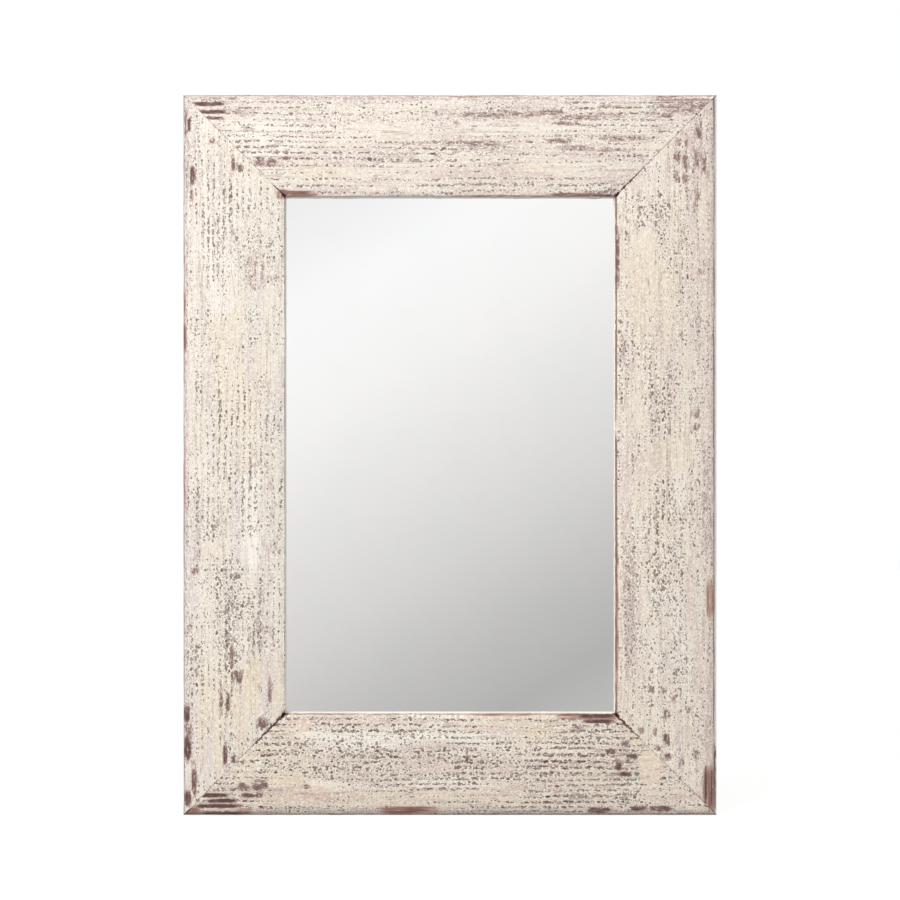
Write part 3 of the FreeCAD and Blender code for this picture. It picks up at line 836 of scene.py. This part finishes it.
LAYER_HUES = {
    "drift": "shade", "warm": "#dfc9a5", "bleached": "#f7f4ed", "blush": "blush", "grain": "#cfc1b3",
    "thin": "#c9b9ad", "thick": "#f3ede2", "hair": "#b09c90", "smear": "#a58a84", "rub": "#bba7a8",
    "highlight_rim": "#f8f3e9", "spot": "fleck", "painted_light_margin": "#fdfaf6", "line": "#84696a", "soaked": "#b58a79",
    "strip": "wood", "chip": "stain", "arris": "#75594f", "wall": "#f8f2e8",
}


def painted_pine(name, place, turn, seed, hues, flecks, rows, lip_wear, lip_width, verge_at):
    """Distressed paint on stained pine."""
    material, tree, shader = new_finish(name)
    along, depth, across = on_board(tree, place, turn)
    girth = calc(tree, "SUBTRACT", across, depth)
    flat = add(tree, "CombineXYZ", {"X": along, "Y": girth})
    pattern = {}
    for index, (layer, (length, width, detail)) in enumerate(PAINT_PATTERNS.items()):
        pattern[layer] = clouds(tree, flat, (length, width), (seed + 3.7 * index, seed, 0), detail)
    worn_mark, bare_mark, busy_mark, warm_mark, rosy_mark = (
        add(tree, "Attribute", {}, attribute_name=mark).outputs["Fac"] for mark in MARKS)

    phase = calc(tree, "MULTIPLY", girth, 2 * math.pi / row_spacing)
    phase = summed(tree, phase, (pattern["drift"], row_drift))
    order = ramp(tree, pattern["order"], *row_limits, 0.9 * rows, low=0.05 * rows)
    crowd = summed(
        tree, flecks + fleck_level, (calc(tree, "COSINE", phase), order),
        (pattern["zone"], 1.2), (pattern["lane"], 0.9), (pattern["patch"], 1.0),
        (busy_mark, 0.65), (worn_mark, 0.2), (rosy_mark, 0.1))

    shake = pattern["speck"].outputs["Color"]
    wobble = add(tree, "VectorMath", {0: shake, 1: (0.5,) * 3}, operation="SUBTRACT")
    bent = add(tree, "VectorMath", {0: wobble, 1: (fleck_wobble,) * 3, 2: flat}, operation="MULTIPLY_ADD")
    spots, highlight_rims = [], []
    for length, width, rarity, largest in FLECKS:
        cell = cells(tree, bent, (length, width), (seed, seed, 0))
        chance = add(tree, "SeparateColor", {0: cell.outputs["Color"]})
        size = calc(tree, "ADD", chance.outputs["Red"], crowd)
        size = ramp(tree, size, rarity, rarity + 0.9)
        size = calc(tree, "POWER", size, 0.45)
        inside = calc(tree, "MULTIPLY", size, largest)
        inside = calc(tree, "SUBTRACT", inside, cell.outputs["Distance"])
        dark = ramp(tree, chance.outputs["Green"], 0, 1, 1.0, low=0.5)
        spots.append(ramp(tree, inside, *spot_limits, dark))
        # A pale rim round each spot is a painted highlight: the light that a ridge of paint round a pit would
        # catch.
        highlight_rims.append(ramp(tree, inside, *highlight_rim_limits, 0.7))
    spot, highlight_rim = spots[0], highlight_rims[0]
    for other_spot, other_highlight_rim in zip(spots[1:], highlight_rims[1:]):
        spot = calc(tree, "MAXIMUM", spot, other_spot)
        highlight_rim = calc(tree, "MAXIMUM", highlight_rim, other_highlight_rim)
    spot_hue = mix(tree, chance.outputs["Blue"], colour(hues["fleck"]), colour(hues["pale fleck"]))

    turned = ramp(tree, across, *turned_limits, low=0.2)
    rim = calc(tree, "MULTIPLY", ramp(tree, across, *rim_limits), turned)
    front = ramp(tree, depth, *front_limits)
    verge = calc(tree, "COMPARE", across, verge_at, verge_half)
    verge = calc(tree, "MULTIPLY", verge, front)
    # Painted light: the strip of the front rounding between the outer line and the edge is laid on near
    # white, where the rounding faces away from the lamp. Only the right stile's line lies far enough in for
    # it to show.
    painted_light_margin = ramp(tree, across, verge_at - verge_half, verge_at - painted_light_reach, 0.9)
    painted_light_margin = calc(tree, "MULTIPLY", painted_light_margin, front)
    lip = ramp(tree, across, board_width - lip_width, board_width - 0.6 * lip_width)
    lip = calc(tree, "MULTIPLY", lip, ramp(tree, depth, *lip_limits))
    # The inner wall at the sight edge is cream paint, but it is laid on near white at up to 72 percent:
    # painted light that lifts the wall and the foot of the sight rounding where shade falls on them, most of
    # all on the top and the left, both as seen directly and in the mirror.
    wall = calc(tree, "GREATER_THAN", across, board_width - wall_reach)
    shade_lift = ramp(tree, depth, *shade_lift_limits, 0.72)
    stripped = calc(tree, "MULTIPLY", bare_mark, 3.0, use_clamp=True)
    hairline = calc(tree, "SUBTRACT", pattern["hair"], 0.5)
    smeared = summed(tree, -0.14, (pattern["lane"], 0.25), (worn_mark, 0.5), (rosy_mark, 0.06))
    ragged = summed(tree, 0.0, (pattern["patch"], 0.6), (pattern["speck"], 0.4))
    sources = {
        "drift": pattern["drift"],
        "warm": warm_mark,
        "bleached": warm_mark,
        "blush": summed(tree, pattern["blush"], (rim, 0.2), (rosy_mark, 0.16)),
        "grain": pattern["grain"],
        "thin": pattern["stipple"],
        "thick": pattern["stipple"],
        "hair": calc(tree, "ABSOLUTE", hairline),
        "smear": calc(tree, "ADD", pattern["smear"], smeared),
        "rub": pattern["edge"],
        "line": pattern["edge"],
        "chip": summed(tree, ragged, (worn_mark, 0.55)),
        "arris": calc(tree, "ADD", pattern["edge"], lip_wear),
        "soaked": bare_mark,
        "strip": summed(tree, pattern["fibre"], (bare_mark, 0.36)),
    }
    mask = {"spot": spot, "highlight_rim": highlight_rim, "painted_light_margin": painted_light_margin, "wall": calc(tree, "MULTIPLY", wall, shade_lift)}
    for layer, (low, high, strength) in MASKS.items():
        mask[layer] = ramp(tree, sources[layer], low, high, strength)
    lively = ramp(tree, summed(tree, pattern["zone"], (busy_mark, 0.25)), 0.36, 0.56, low=0.15)
    zones = {"rub": rim, "line": verge, "arris": lip, "strip": stripped, "thin": lively, "thick": lively}
    for layer, zone in zones.items():
        mask[layer] = calc(tree, "MULTIPLY", mask[layer], zone)
    deep_stain = ramp(tree, calc(tree, "ADD", ragged, worn_mark), 1.05, 1.5)
    early_wood = ramp(tree, pattern["fibre"], 0.36, 0.66)
    made_hues = {
        "shade": colour(hues["shade"]), "blush": colour(hues["blush"]), "fleck": spot_hue,
        "wood": mix(tree, early_wood, colour("#573530"), colour("#9e7265")),
        "stain": mix(tree, deep_stain, colour("#a68a84"), colour("#5a413c")),
    }

    tone = colour(hues["cream"])
    for layer, hue in LAYER_HUES.items():
        tone = mix(tree, mask[layer], tone, made_hues[hue] if hue in made_hues else colour(hue))

    gone = calc(tree, "MAXIMUM", mask["spot"], mask["chip"])
    gone = calc(tree, "MAXIMUM", gone, mask["strip"])
    gone = summed(tree, gone, (mask["smear"], 0.4))
    rough = ramp(tree, gone, 0, 1, 0.8, low=0.58)
    hollow = summed(tree, gone, (pattern["grain"], -0.5))
    bump = add(tree, "Bump", {"Height": hollow, "Strength": 0.5, "Distance": 0.2 * MM}, invert=True)
    feed(tree, shader, {"Base Color": tone, "Roughness": rough, "Normal": bump})
    return material


half_width, half_height = frame_width / 2, frame_height / 2
HUES = {
    "top_rail": ("#e6dbcc", "#ded1c1", "#d8c3bb", "#6e5751", "#8f736f"),
    "bottom_rail": ("#e5d4bf", "#ddcbb5", "#d0b4a7", "#523c30", "#765746"),
    "left_stile": ("#e8dfd0", "#e0d5c5", "#d9cec9", "#645244", "#867160"),
    "right_stile": ("#e6dac6", "#ded0be", "#d6c0b8", "#6f5648", "#907264"),
}
PAINTS = {
    "top_rail": ((0, 0, frame_height), math.pi, 11, 0.0, 0.95, 0.06, 1.3 * MM, 0.8 * MM),
    "bottom_rail": ((0, 0, 0), 0, 23, 0.17, 1.0, 0.16, 1.6 * MM, 0.8 * MM),
    "left_stile": ((half_height, 0, half_width), -math.pi / 2, 37, 0.0, 0.7, 0.0, 1.2 * MM, 0.8 * MM),
    "right_stile": ((-half_height, 0, half_width), math.pi / 2, 51, 0.0, 0.45, 0.16, 3.2 * MM, 3.6 * MM),
}
for node, (place, turn, seed, *wear) in PAINTS.items():
    hues = dict(zip(("cream", "shade", "blush", "fleck", "pale fleck"), HUES[node]))
    paint = painted_pine("painted_pine_" + node, place, turn, seed, hues, *wear)
    boards[node].data.materials.append(paint)
print("paints:", len(PAINTS))

# %% [markdown]
# Nobody paints the back of a frame. There the pine is as the saw left it: pale early wood and darker late
# wood in lines along the board, which swerve round a few knots, faint ticks of the blade across the grain,
# and a ragged edge of paint that ran over from the outer side. The lines are a cosine of the distance across,
# bent by noise and by each knot, so that one formula gives straight grain and the eyes round the knots.

# %% Sawn pine backs
ring_spacing = 7.5 * MM
blade_spacing = 4.2 * MM
RING_PATTERNS = {
    "bend": (260, 46, 1),
    "fibre": (70, 1.7, 3),
    "soil": (80, 40, 3),
    "overspill": (26, 9, 3),
}
KNOT_CELL = (190, 92)


def sawn_pine(name, place, turn, seed):
    """Raw sawn pine with growth lines, knots, ticks of the blade and paint run over its outer edge."""
    material, tree, shader = new_finish(name)
    along, _, across = on_board(tree, place, turn)
    flat = add(tree, "CombineXYZ", {"X": along, "Y": across})
    pattern = {}
    for layer, (length, width, detail) in RING_PATTERNS.items():
        pattern[layer] = clouds(tree, flat, (length, width), (seed, seed, 0), detail)
    knots = cells(tree, flat, KNOT_CELL, (seed, 0, 0), randomness=0.4)
    chosen = add(tree, "SeparateColor", {0: knots.outputs["Color"]})
    chosen = calc(tree, "GREATER_THAN", chosen.outputs["Red"], 0.5)
    swerve = ramp(tree, knots.outputs["Distance"], 0.36, 0.0)
    swerve = calc(tree, "POWER", swerve, 2.0)
    swerve = calc(tree, "MULTIPLY", swerve, chosen)
    heart = ramp(tree, knots.outputs["Distance"], 0.11, 0.07)
    heart = calc(tree, "MULTIPLY", heart, chosen)

    phase = calc(tree, "MULTIPLY", across, 2 * math.pi / ring_spacing)
    ring = calc(tree, "COSINE", summed(tree, phase, (pattern["bend"], 26.0), (swerve, 34.0)))
    tick = calc(tree, "MULTIPLY", along, 2 * math.pi / blade_spacing)
    tick = calc(tree, "SINE", summed(tree, tick, (pattern["soil"], 30.0)))
    run = summed(tree, across, (pattern["overspill"], -22 * MM))
    masks = {
        "late wood": (ring, 0.1, 0.95, 0.75, "#b98a52"),
        "fibre": (pattern["fibre"], 0.5, 0.72, 0.5, "#c9a06a"),
        "tick": (tick, 0.6, 1.0, 0.16, "#f0dcb4"),
        "soil": (pattern["soil"], 0.52, 0.75, 0.4, "#a98c66"),
        "knot": (heart, 0.0, 1.0, 0.9, "#7b4a2a"),
        "paint": (run, -3.0 * MM, -7.0 * MM, 0.85, "#e2d6c6"),
        "stain": (run, -8.0 * MM, -12.0 * MM, 0.5, "#8b756a"),
    }
    tone = colour("#dcc193")
    for source, low, high, share, hue in masks.values():
        mask = ramp(tree, source, low, high, share)
        tone = mix(tree, mask, tone, colour(hue))
    rough = ramp(tree, pattern["fibre"], 0, 1, 0.95, low=0.7)
    nap = summed(tree, pattern["fibre"], (tick, 0.25))
    bump = add(tree, "Bump", {"Height": nap, "Strength": 0.5, "Distance": 0.25 * MM})
    feed(tree, shader, {"Base Color": tone, "Roughness": rough, "Normal": bump})
    return material


for node, (place, turn, seed, *_) in PAINTS.items():
    mesh = boards[node].data
    mesh.materials.append(sawn_pine("sawn_pine_" + node, place, turn, seed))
    count = len(mesh.polygons)
    normals = np.zeros(count * 3)
    centres = np.zeros(count * 3)
    mesh.polygons.foreach_get("normal", normals)
    mesh.polygons.foreach_get("center", centres)
    normals, centres = normals.reshape(-1, 3), centres.reshape(-1, 3)
    inside = (np.abs(centres[:, 0]) < half_width - rebate_wall + MM) & (
        np.abs(centres[:, 2] - middle_z) < half_height - rebate_wall + MM)
    level = centres[:, 1]
    raw = (level > 0) & ((normals[:, 1] > 0.5) | (inside & (level > ledge_y - 0.1 * MM)))
    mesh.polygons.foreach_set("material_index", raw.astype(np.int32))
    print(node, int(raw.sum()), "raw faces")

# %% [markdown]
# ## The other finishes
# Each remaining piece has one base colour with several thin layers over it. A layer is noise of a real size,
# cut off below and above, that lays its own hue over what is there. The first layer also drives the
# roughness and the last one the relief. One function builds them all from a table, so that a finish is read
# at a glance: size in millimetres, where it starts, where it is full, its share and its hue.


# %% Finishes in thin layers
def layered(name, base, layers, roughness, metallic=0.0, relief=0.0):
    """A finish of a base colour under noise layers: (sizes in mm, starts at, full at, share, hue)."""
    material, tree, shader = new_finish(name)
    where = add(tree, "TexCoord", {}).outputs["Object"]
    tone = colour(base)
    noises = []
    for index, (sizes, low, high, share, hue) in enumerate(layers):
        shift = (2.3 * index, 5.1 * index, 7.7 * index)
        noises.append(clouds(tree, where, sizes, shift, 3.0, "3D"))
        mask = ramp(tree, noises[-1], low, high, share)
        tone = mix(tree, mask, tone, colour(hue))
    rough = ramp(tree, noises[0], 0.3, 0.7, roughness[1], low=roughness[0])
    feed(tree, shader, {"Base Color": tone, "Roughness": rough})
    shader.inputs["Metallic"].default_value = metallic
    if relief:
        bump = add(tree, "Bump", {"Height": noises[-1], "Strength": 0.5, "Distance": relief})
        feed(tree, shader, {"Normal": bump})
    return material


def dress(finish, *names):
    """Gives pieces of the construction their finish."""
    for name in names:
        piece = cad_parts[name]
        piece.data.materials.clear()
        piece.data.materials.append(finish)
    print(finish.name, "on", len(names), "pieces")


# %% [markdown]
# Mirror glass is float glass with a film of silver behind it. Seen from the front only the silver counts, so
# the pane is a clean metal with hardly any roughness. A breath of haze keeps it from being perfect.

# %% Silvered float glass
silver = layered(
    "silvered_float_glass", "#fafafa",
    [((90, 90, 90), 0.4, 0.7, 0.5, "#f6f7f8"), ((30, 30, 30), 0.55, 0.75, 0.4, "#f8f7f5")],
    roughness=(0.006, 0.014), metallic=1.0)
dress(silver, "mirror_glass")

# %% [markdown]
# Hardboard is steam-pressed wood fibre. Its smooth side is a warm brown with short dark and pale fibres lying
# every way, a few long scuffs, and the slight gloss that the press gives. Real fibres are finer than a
# picture of the whole back can show, so they are drawn coarser here.

# %% Pressed hardboard
hardboard = layered(
    "pressed_hardboard", "#8d6c4b",
    [
        ((70, 70, 55), 0.4, 0.68, 0.6, "#7c5b3b"), ((9, 9, 2.4), 0.56, 0.66, 0.55, "#a8835b"),
        ((2.4, 9, 8), 0.58, 0.68, 0.6, "#6a4a2f"), ((3, 3, 3), 0.6, 0.68, 0.5, "#b89a72"),
        ((150, 150, 5), 0.66, 0.74, 0.35, "#a58a68"), ((2.6, 2.6, 2.6), 0.4, 0.7, 0.2, "#80603f"),
    ],
    roughness=(0.48, 0.7), relief=0.08 * MM)
dress(hardboard, "backing_board")

# %% [markdown]
# The biscuits are stamped from beech, pale and pinkish with short dark flecks along the grain. They lie
# inside the joints and only their rims would ever be seen.

# %% Stamped beech
beech = layered(
    "stamped_beech", "#cda87c",
    [((30, 3, 3), 0.45, 0.7, 0.5, "#dbbd95"), ((5, 1.6, 1.6), 0.6, 0.7, 0.7, "#a67b50")],
    roughness=(0.65, 0.8), relief=0.1 * MM)
dress(beech, *("mitre_biscuit_" + corner for corner in MITRE_GAPS))

# %% [markdown]
# V-nails are punched from blued spring steel: nearly black with a blue cast, and brighter where the hammer
# struck. All metal here keeps a metal's own reflection, and only its hue and roughness are set.

# %% Blued spring steel
blued = layered(
    "blued_spring_steel", "#50565e",
    [((6, 6, 6), 0.4, 0.7, 0.7, "#3c4452"), ((2.4, 2.4, 2.4), 0.58, 0.7, 0.6, "#7c8087")],
    roughness=(0.32, 0.5), metallic=1.0, relief=0.05 * MM)
dress(blued, "mitre_v_nails")

# %% [markdown]
# Straps, turn buttons, rings and screws are zinc-plated in a drum. Fresh plating is a light grey metal with a
# bluish cast that turns straw-coloured in places, dulled by fine dings from the other pieces in the drum.
# Pressed sheet is the smoothest, drawn wire has streaks along it, and screws are the darkest.

# %% Zinc-plated steel
TUMBLE_DINGS = [
    ((26, 26, 26), 0.42, 0.66, 0.6, "#b4bcc6"), ((17, 17, 17), 0.55, 0.72, 0.5, "#cfc7ac"),
    ((2.2, 2.2, 2.2), 0.56, 0.66, 0.5, "#9ba0a4"),
]
sheet = layered(
    "zinc_plated_pressed_sheet", "#c8cbce", TUMBLE_DINGS + [((1.6, 1.6, 9), 0.5, 0.7, 0.35, "#dcdee0")],
    roughness=(0.26, 0.42), metallic=1.0, relief=0.06 * MM)
wire = layered(
    "zinc_plated_drawn_wire", "#c2c6ca", TUMBLE_DINGS + [((1.4, 1.4, 14), 0.48, 0.68, 0.5, "#989da2")],
    roughness=(0.22, 0.36), metallic=1.0, relief=0.04 * MM)
headed = layered(
    "zinc_plated_headed_wire", "#b4b8bb", TUMBLE_DINGS + [((1.2, 1.2, 1.2), 0.5, 0.7, 0.5, "#8b8f93")],
    roughness=(0.3, 0.5), metallic=1.0, relief=0.05 * MM)
BUTTON_PLACES = ("left_upper", "left_lower", "right_upper", "right_lower", "top", "bottom")
dress(sheet, "hanger_strap_left", "hanger_strap_right", *("turn_button_" + place for place in BUTTON_PLACES))

# %% [markdown]
# The wall bumpers are moulded in black rubber. It is never quite black: the mould leaves it matt, and a grey
# bloom comes to the surface with age.

# %% Moulded rubber
rubber = layered(
    "moulded_rubber", "#2d2c2b",
    [((7, 7, 7), 0.42, 0.7, 0.55, "#4b4947"), ((1.5, 1.5, 1.5), 0.5, 0.7, 0.5, "#201f1f")],
    roughness=(0.68, 0.85), relief=0.12 * MM)
print("finishes:", len([m for m in bpy.data.materials if m.users]))

# %% [markdown]
# ## Small hardware
# The construction gives rings, screws and bumpers with a few flat sides, which is enough to fit and to move
# them but shows from close by. They are made again with round sides, each at the size and place of the
# plain one. A ring is bent from one length of wire, so a circle is extruded along each straight run
# and spun round each bend until it meets its own beginning.

# %% Bent wire rings
wire_size = 3 * MM
wire_bend = 3.5 * MM
WIRE_SIDES = 24
BEND_STEPS = 8
BOW_STEPS = 36
new_pieces = {node: (board, "frame", "painted_wood") for node, board in boards.items()}


def extrude_by(*step):
    """Extrudes what is selected by this step."""
    bpy.ops.mesh.extrude_region_move(TRANSFORM_OT_translate={"value": step})


def close_up(piece):
    """Merges the seams of a piece, turns its faces outward and leaves edit mode."""
    bpy.ops.mesh.select_all(action="SELECT")
    bpy.ops.mesh.remove_doubles(threshold=0.01 * MM)
    bpy.ops.mesh.normals_make_consistent(inside=False)
    bpy.ops.object.mode_set(mode="OBJECT")
    bpy.ops.object.shade_smooth_by_angle(angle=math.radians(35))


def bend_ring(name, node):
    """A ring that hangs from a straight bar: a tight bend at each end of it, two legs and a round bow."""
    low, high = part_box(node)
    half = (high.x - low.x - wire_size) / 2
    rise = high.y - low.y - wire_size
    drop = high.z - low.z - wire_size
    bar = half - wire_bend
    leg = math.hypot(rise, drop) - half
    bpy.ops.object.select_all(action="DESELECT")
    bpy.ops.mesh.primitive_circle_add(
        vertices=WIRE_SIDES, radius=wire_size / 2, location=(-bar, 0, 0), rotation=(0, math.pi / 2, 0))
    ring = bpy.context.object
    ring.name = name
    bpy.ops.object.transform_apply()
    bpy.ops.object.mode_set(mode="EDIT")
    bpy.ops.mesh.select_all(action="SELECT")
    extrude_by(2 * bar, 0, 0)
    bpy.ops.mesh.spin(steps=BEND_STEPS, angle=-math.pi / 2, center=(bar, 0, -wire_bend), axis=(0, 1, 0))
    extrude_by(0, 0, wire_bend - leg)
    bpy.ops.mesh.spin(steps=BOW_STEPS, angle=-math.pi, center=(0, 0, -leg), axis=(0, 1, 0))
    extrude_by(0, 0, leg - wire_bend)
    bpy.ops.mesh.spin(steps=BEND_STEPS, angle=-math.pi / 2, center=(-bar, 0, -wire_bend), axis=(0, 1, 0))
    close_up(ring)
    ring.rotation_euler = (math.atan2(rise, drop), 0, 0)
    ring.location = ((low.x + high.x) / 2, low.y + wire_size / 2, high.z - wire_size / 2)
    bpy.ops.object.transform_apply()
    return ring


for side in ("left", "right"):
    ring = bend_ring("wire_ring_" + side, "hanger_ring_" + side)
    ring.data.materials.append(wire)
    new_pieces["hanger_ring_" + side] = (ring, "ring_" + side, "zinc_steel")
    print(ring.name, len(ring.data.polygons), "faces")

# %% [markdown]
# A screw is a body of revolution. Half its outline is traced from the top of the pan head down to the point
# and spun once round. The cross in its head is cut out by two bars. Nobody lines up the crosses when driving
# screws, so each copy is turned by an angle of its own. The places of the screws are read from the
# construction, where the points of each screw lie close together.

# %% Headed screws
head_radius = 3.8 * MM
head_height = 2.4 * MM
head_rim = 0.6 * MM
shank_radius = 1.75 * MM
point_length = 4 * MM
point_radius = 0.2 * MM
CROSS = (4.4 * MM, 2.4 * MM, 1.0 * MM)
CROWN_STEPS = 8
SCREW_SIDES = 40
driver = np.random.default_rng(5)


def screw_places(node):
    """The middle of each screw's head top, and the level of the screws' points."""
    points = np.array([vertex.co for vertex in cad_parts[node].data.vertices])
    top, tip = points[:, 1].max(), points[:, 1].min()
    places = []
    for point in points[points[:, 1] < tip + 0.1 * MM]:
        if all(math.hypot(point[0] - x, point[2] - z) > head_radius for x, z in places):
            places.append((point[0], point[2]))
    centres = []
    for x, z in places:
        near = points[np.hypot(points[:, 0] - x, points[:, 2] - z) < 2 * head_radius]
        middle = (near.min(axis=0) + near.max(axis=0)) / 2
        centres.append(Vector((middle[0], top, middle[2])))
    return centres, tip


def turn_screw(name, length):
    """A pan-head screw along Y, with the top of its head at zero and its point at -length."""
    crown = head_height - head_rim
    flat = head_radius - crown
    piece = fresh_vertex(name, Vector((0, 0, 0)))
    place = draw_line(Vector((0, 0, 0)), Vector((0, 0, flat)), 1)
    place = draw_arc(place, Vector((0, -crown, flat)), Vector((0, -crown, head_radius)), CROWN_STEPS)
    for corner in (
        Vector((0, -head_height, head_radius)), Vector((0, -head_height, shank_radius)),
        Vector((0, point_length - length, shank_radius)), Vector((0, -length, point_radius)),
        Vector((0, -length, 0)),
    ):
        place = draw_line(place, corner, 1)
    bpy.ops.mesh.select_all(action="SELECT")
    bpy.ops.mesh.spin(steps=SCREW_SIDES, angle=2 * math.pi, center=(0, 0, 0), axis=(0, 1, 0))
    close_up(piece)
    for turn in (0, math.pi / 2):
        bpy.ops.mesh.primitive_cube_add(size=1, scale=CROSS, rotation=(0, turn, 0))
        bar = bpy.context.object
        cut = piece.modifiers.new("cross", "BOOLEAN")
        cut.object = bar
        bpy.context.view_layer.objects.active = piece
        bpy.ops.object.modifier_apply(modifier="cross")
        bpy.data.objects.remove(bar)
    pick(piece)
    bpy.ops.object.shade_smooth_by_angle(angle=math.radians(35))
    return piece


for node in ("turn_button_screws", "hanger_screws"):
    centres, tip = screw_places(node)
    copies = []
    for centre in centres:
        screw = turn_screw("round_screw", centre.y - tip)
        screw.rotation_euler = (0, driver.uniform(0, math.pi / 2), 0)
        screw.location = centre
        copies.append(screw)
    for screw in copies:
        screw.select_set(True)
    bpy.ops.object.transform_apply()
    bpy.ops.object.join()
    screws = bpy.context.object
    screws.name = "round_" + node
    screws.data.materials.append(headed)
    new_pieces[node] = (screws, "frame", "zinc_steel")
    print(screws.name, len(copies), "screws,", len(screws.data.polygons), "faces")

# %% [markdown]
# The bumpers keep the frame's lower edge off the wall. Each is a short cylinder with a rounded rim and a
# shallow dish in its face, which the mould leaves so that it grips. The rim is bevelled and the dish inset.

# %% Moulded bumpers
bumper_round = 1.2 * MM
dish_rim = 2.2 * MM
dish_depth = 0.5 * MM
BUMPER_SIDES = 64
RIM_STEPS = 6


def mould_bumper(name, node):
    """A round bumper with its dished face to the back."""
    low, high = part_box(node)
    bpy.ops.object.select_all(action="DESELECT")
    bpy.ops.mesh.primitive_cylinder_add(
        vertices=BUMPER_SIDES, radius=(high.x - low.x) / 2, depth=high.y - low.y,
        rotation=(-math.pi / 2, 0, 0), location=(low + high) / 2)
    bumper = bpy.context.object
    bumper.name = name
    bpy.ops.object.transform_apply()
    bpy.ops.object.mode_set(mode="EDIT")
    choose(bumper, lambda face: face.normal.y > 0.9, "FACE")
    bpy.ops.mesh.bevel(offset=bumper_round, segments=RIM_STEPS, affect="EDGES")
    choose(bumper, lambda face: face.normal.y > 0.99 and len(face.vertices) > 4, "FACE")
    bpy.ops.mesh.inset(thickness=dish_rim)
    bpy.ops.mesh.inset(thickness=dish_depth, depth=-dish_depth)
    close_up(bumper)
    return bumper


for side in ("left", "right"):
    bumper = mould_bumper("dished_bumper_" + side, "wall_bumper_" + side)
    bumper.data.materials.append(rubber)
    new_pieces["wall_bumper_" + side] = (bumper, "frame", "rubber")
    print(bumper.name, len(bumper.data.polygons), "faces")

# %% [markdown]
# Each new piece takes the place of a plain one. The boards, screws and bumpers belong to the fixed frame and
# ride on it, and each ring rides on the body that swings in its strap. Sound meshes have two faces at
# every edge, so the open edges are counted.

# %% Ride
for node, (piece, body, slot) in new_pieces.items():
    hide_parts(node)
    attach(piece, body)
    sides = np.zeros(len(piece.data.edges), dtype=int)
    corners = np.zeros(len(piece.data.loops), dtype=np.int32)
    piece.data.loops.foreach_get("edge_index", corners)
    np.add.at(sides, corners, 1)
    print(piece.name, "rides on", body, "with", int((sides != 2).sum()), "open edges")
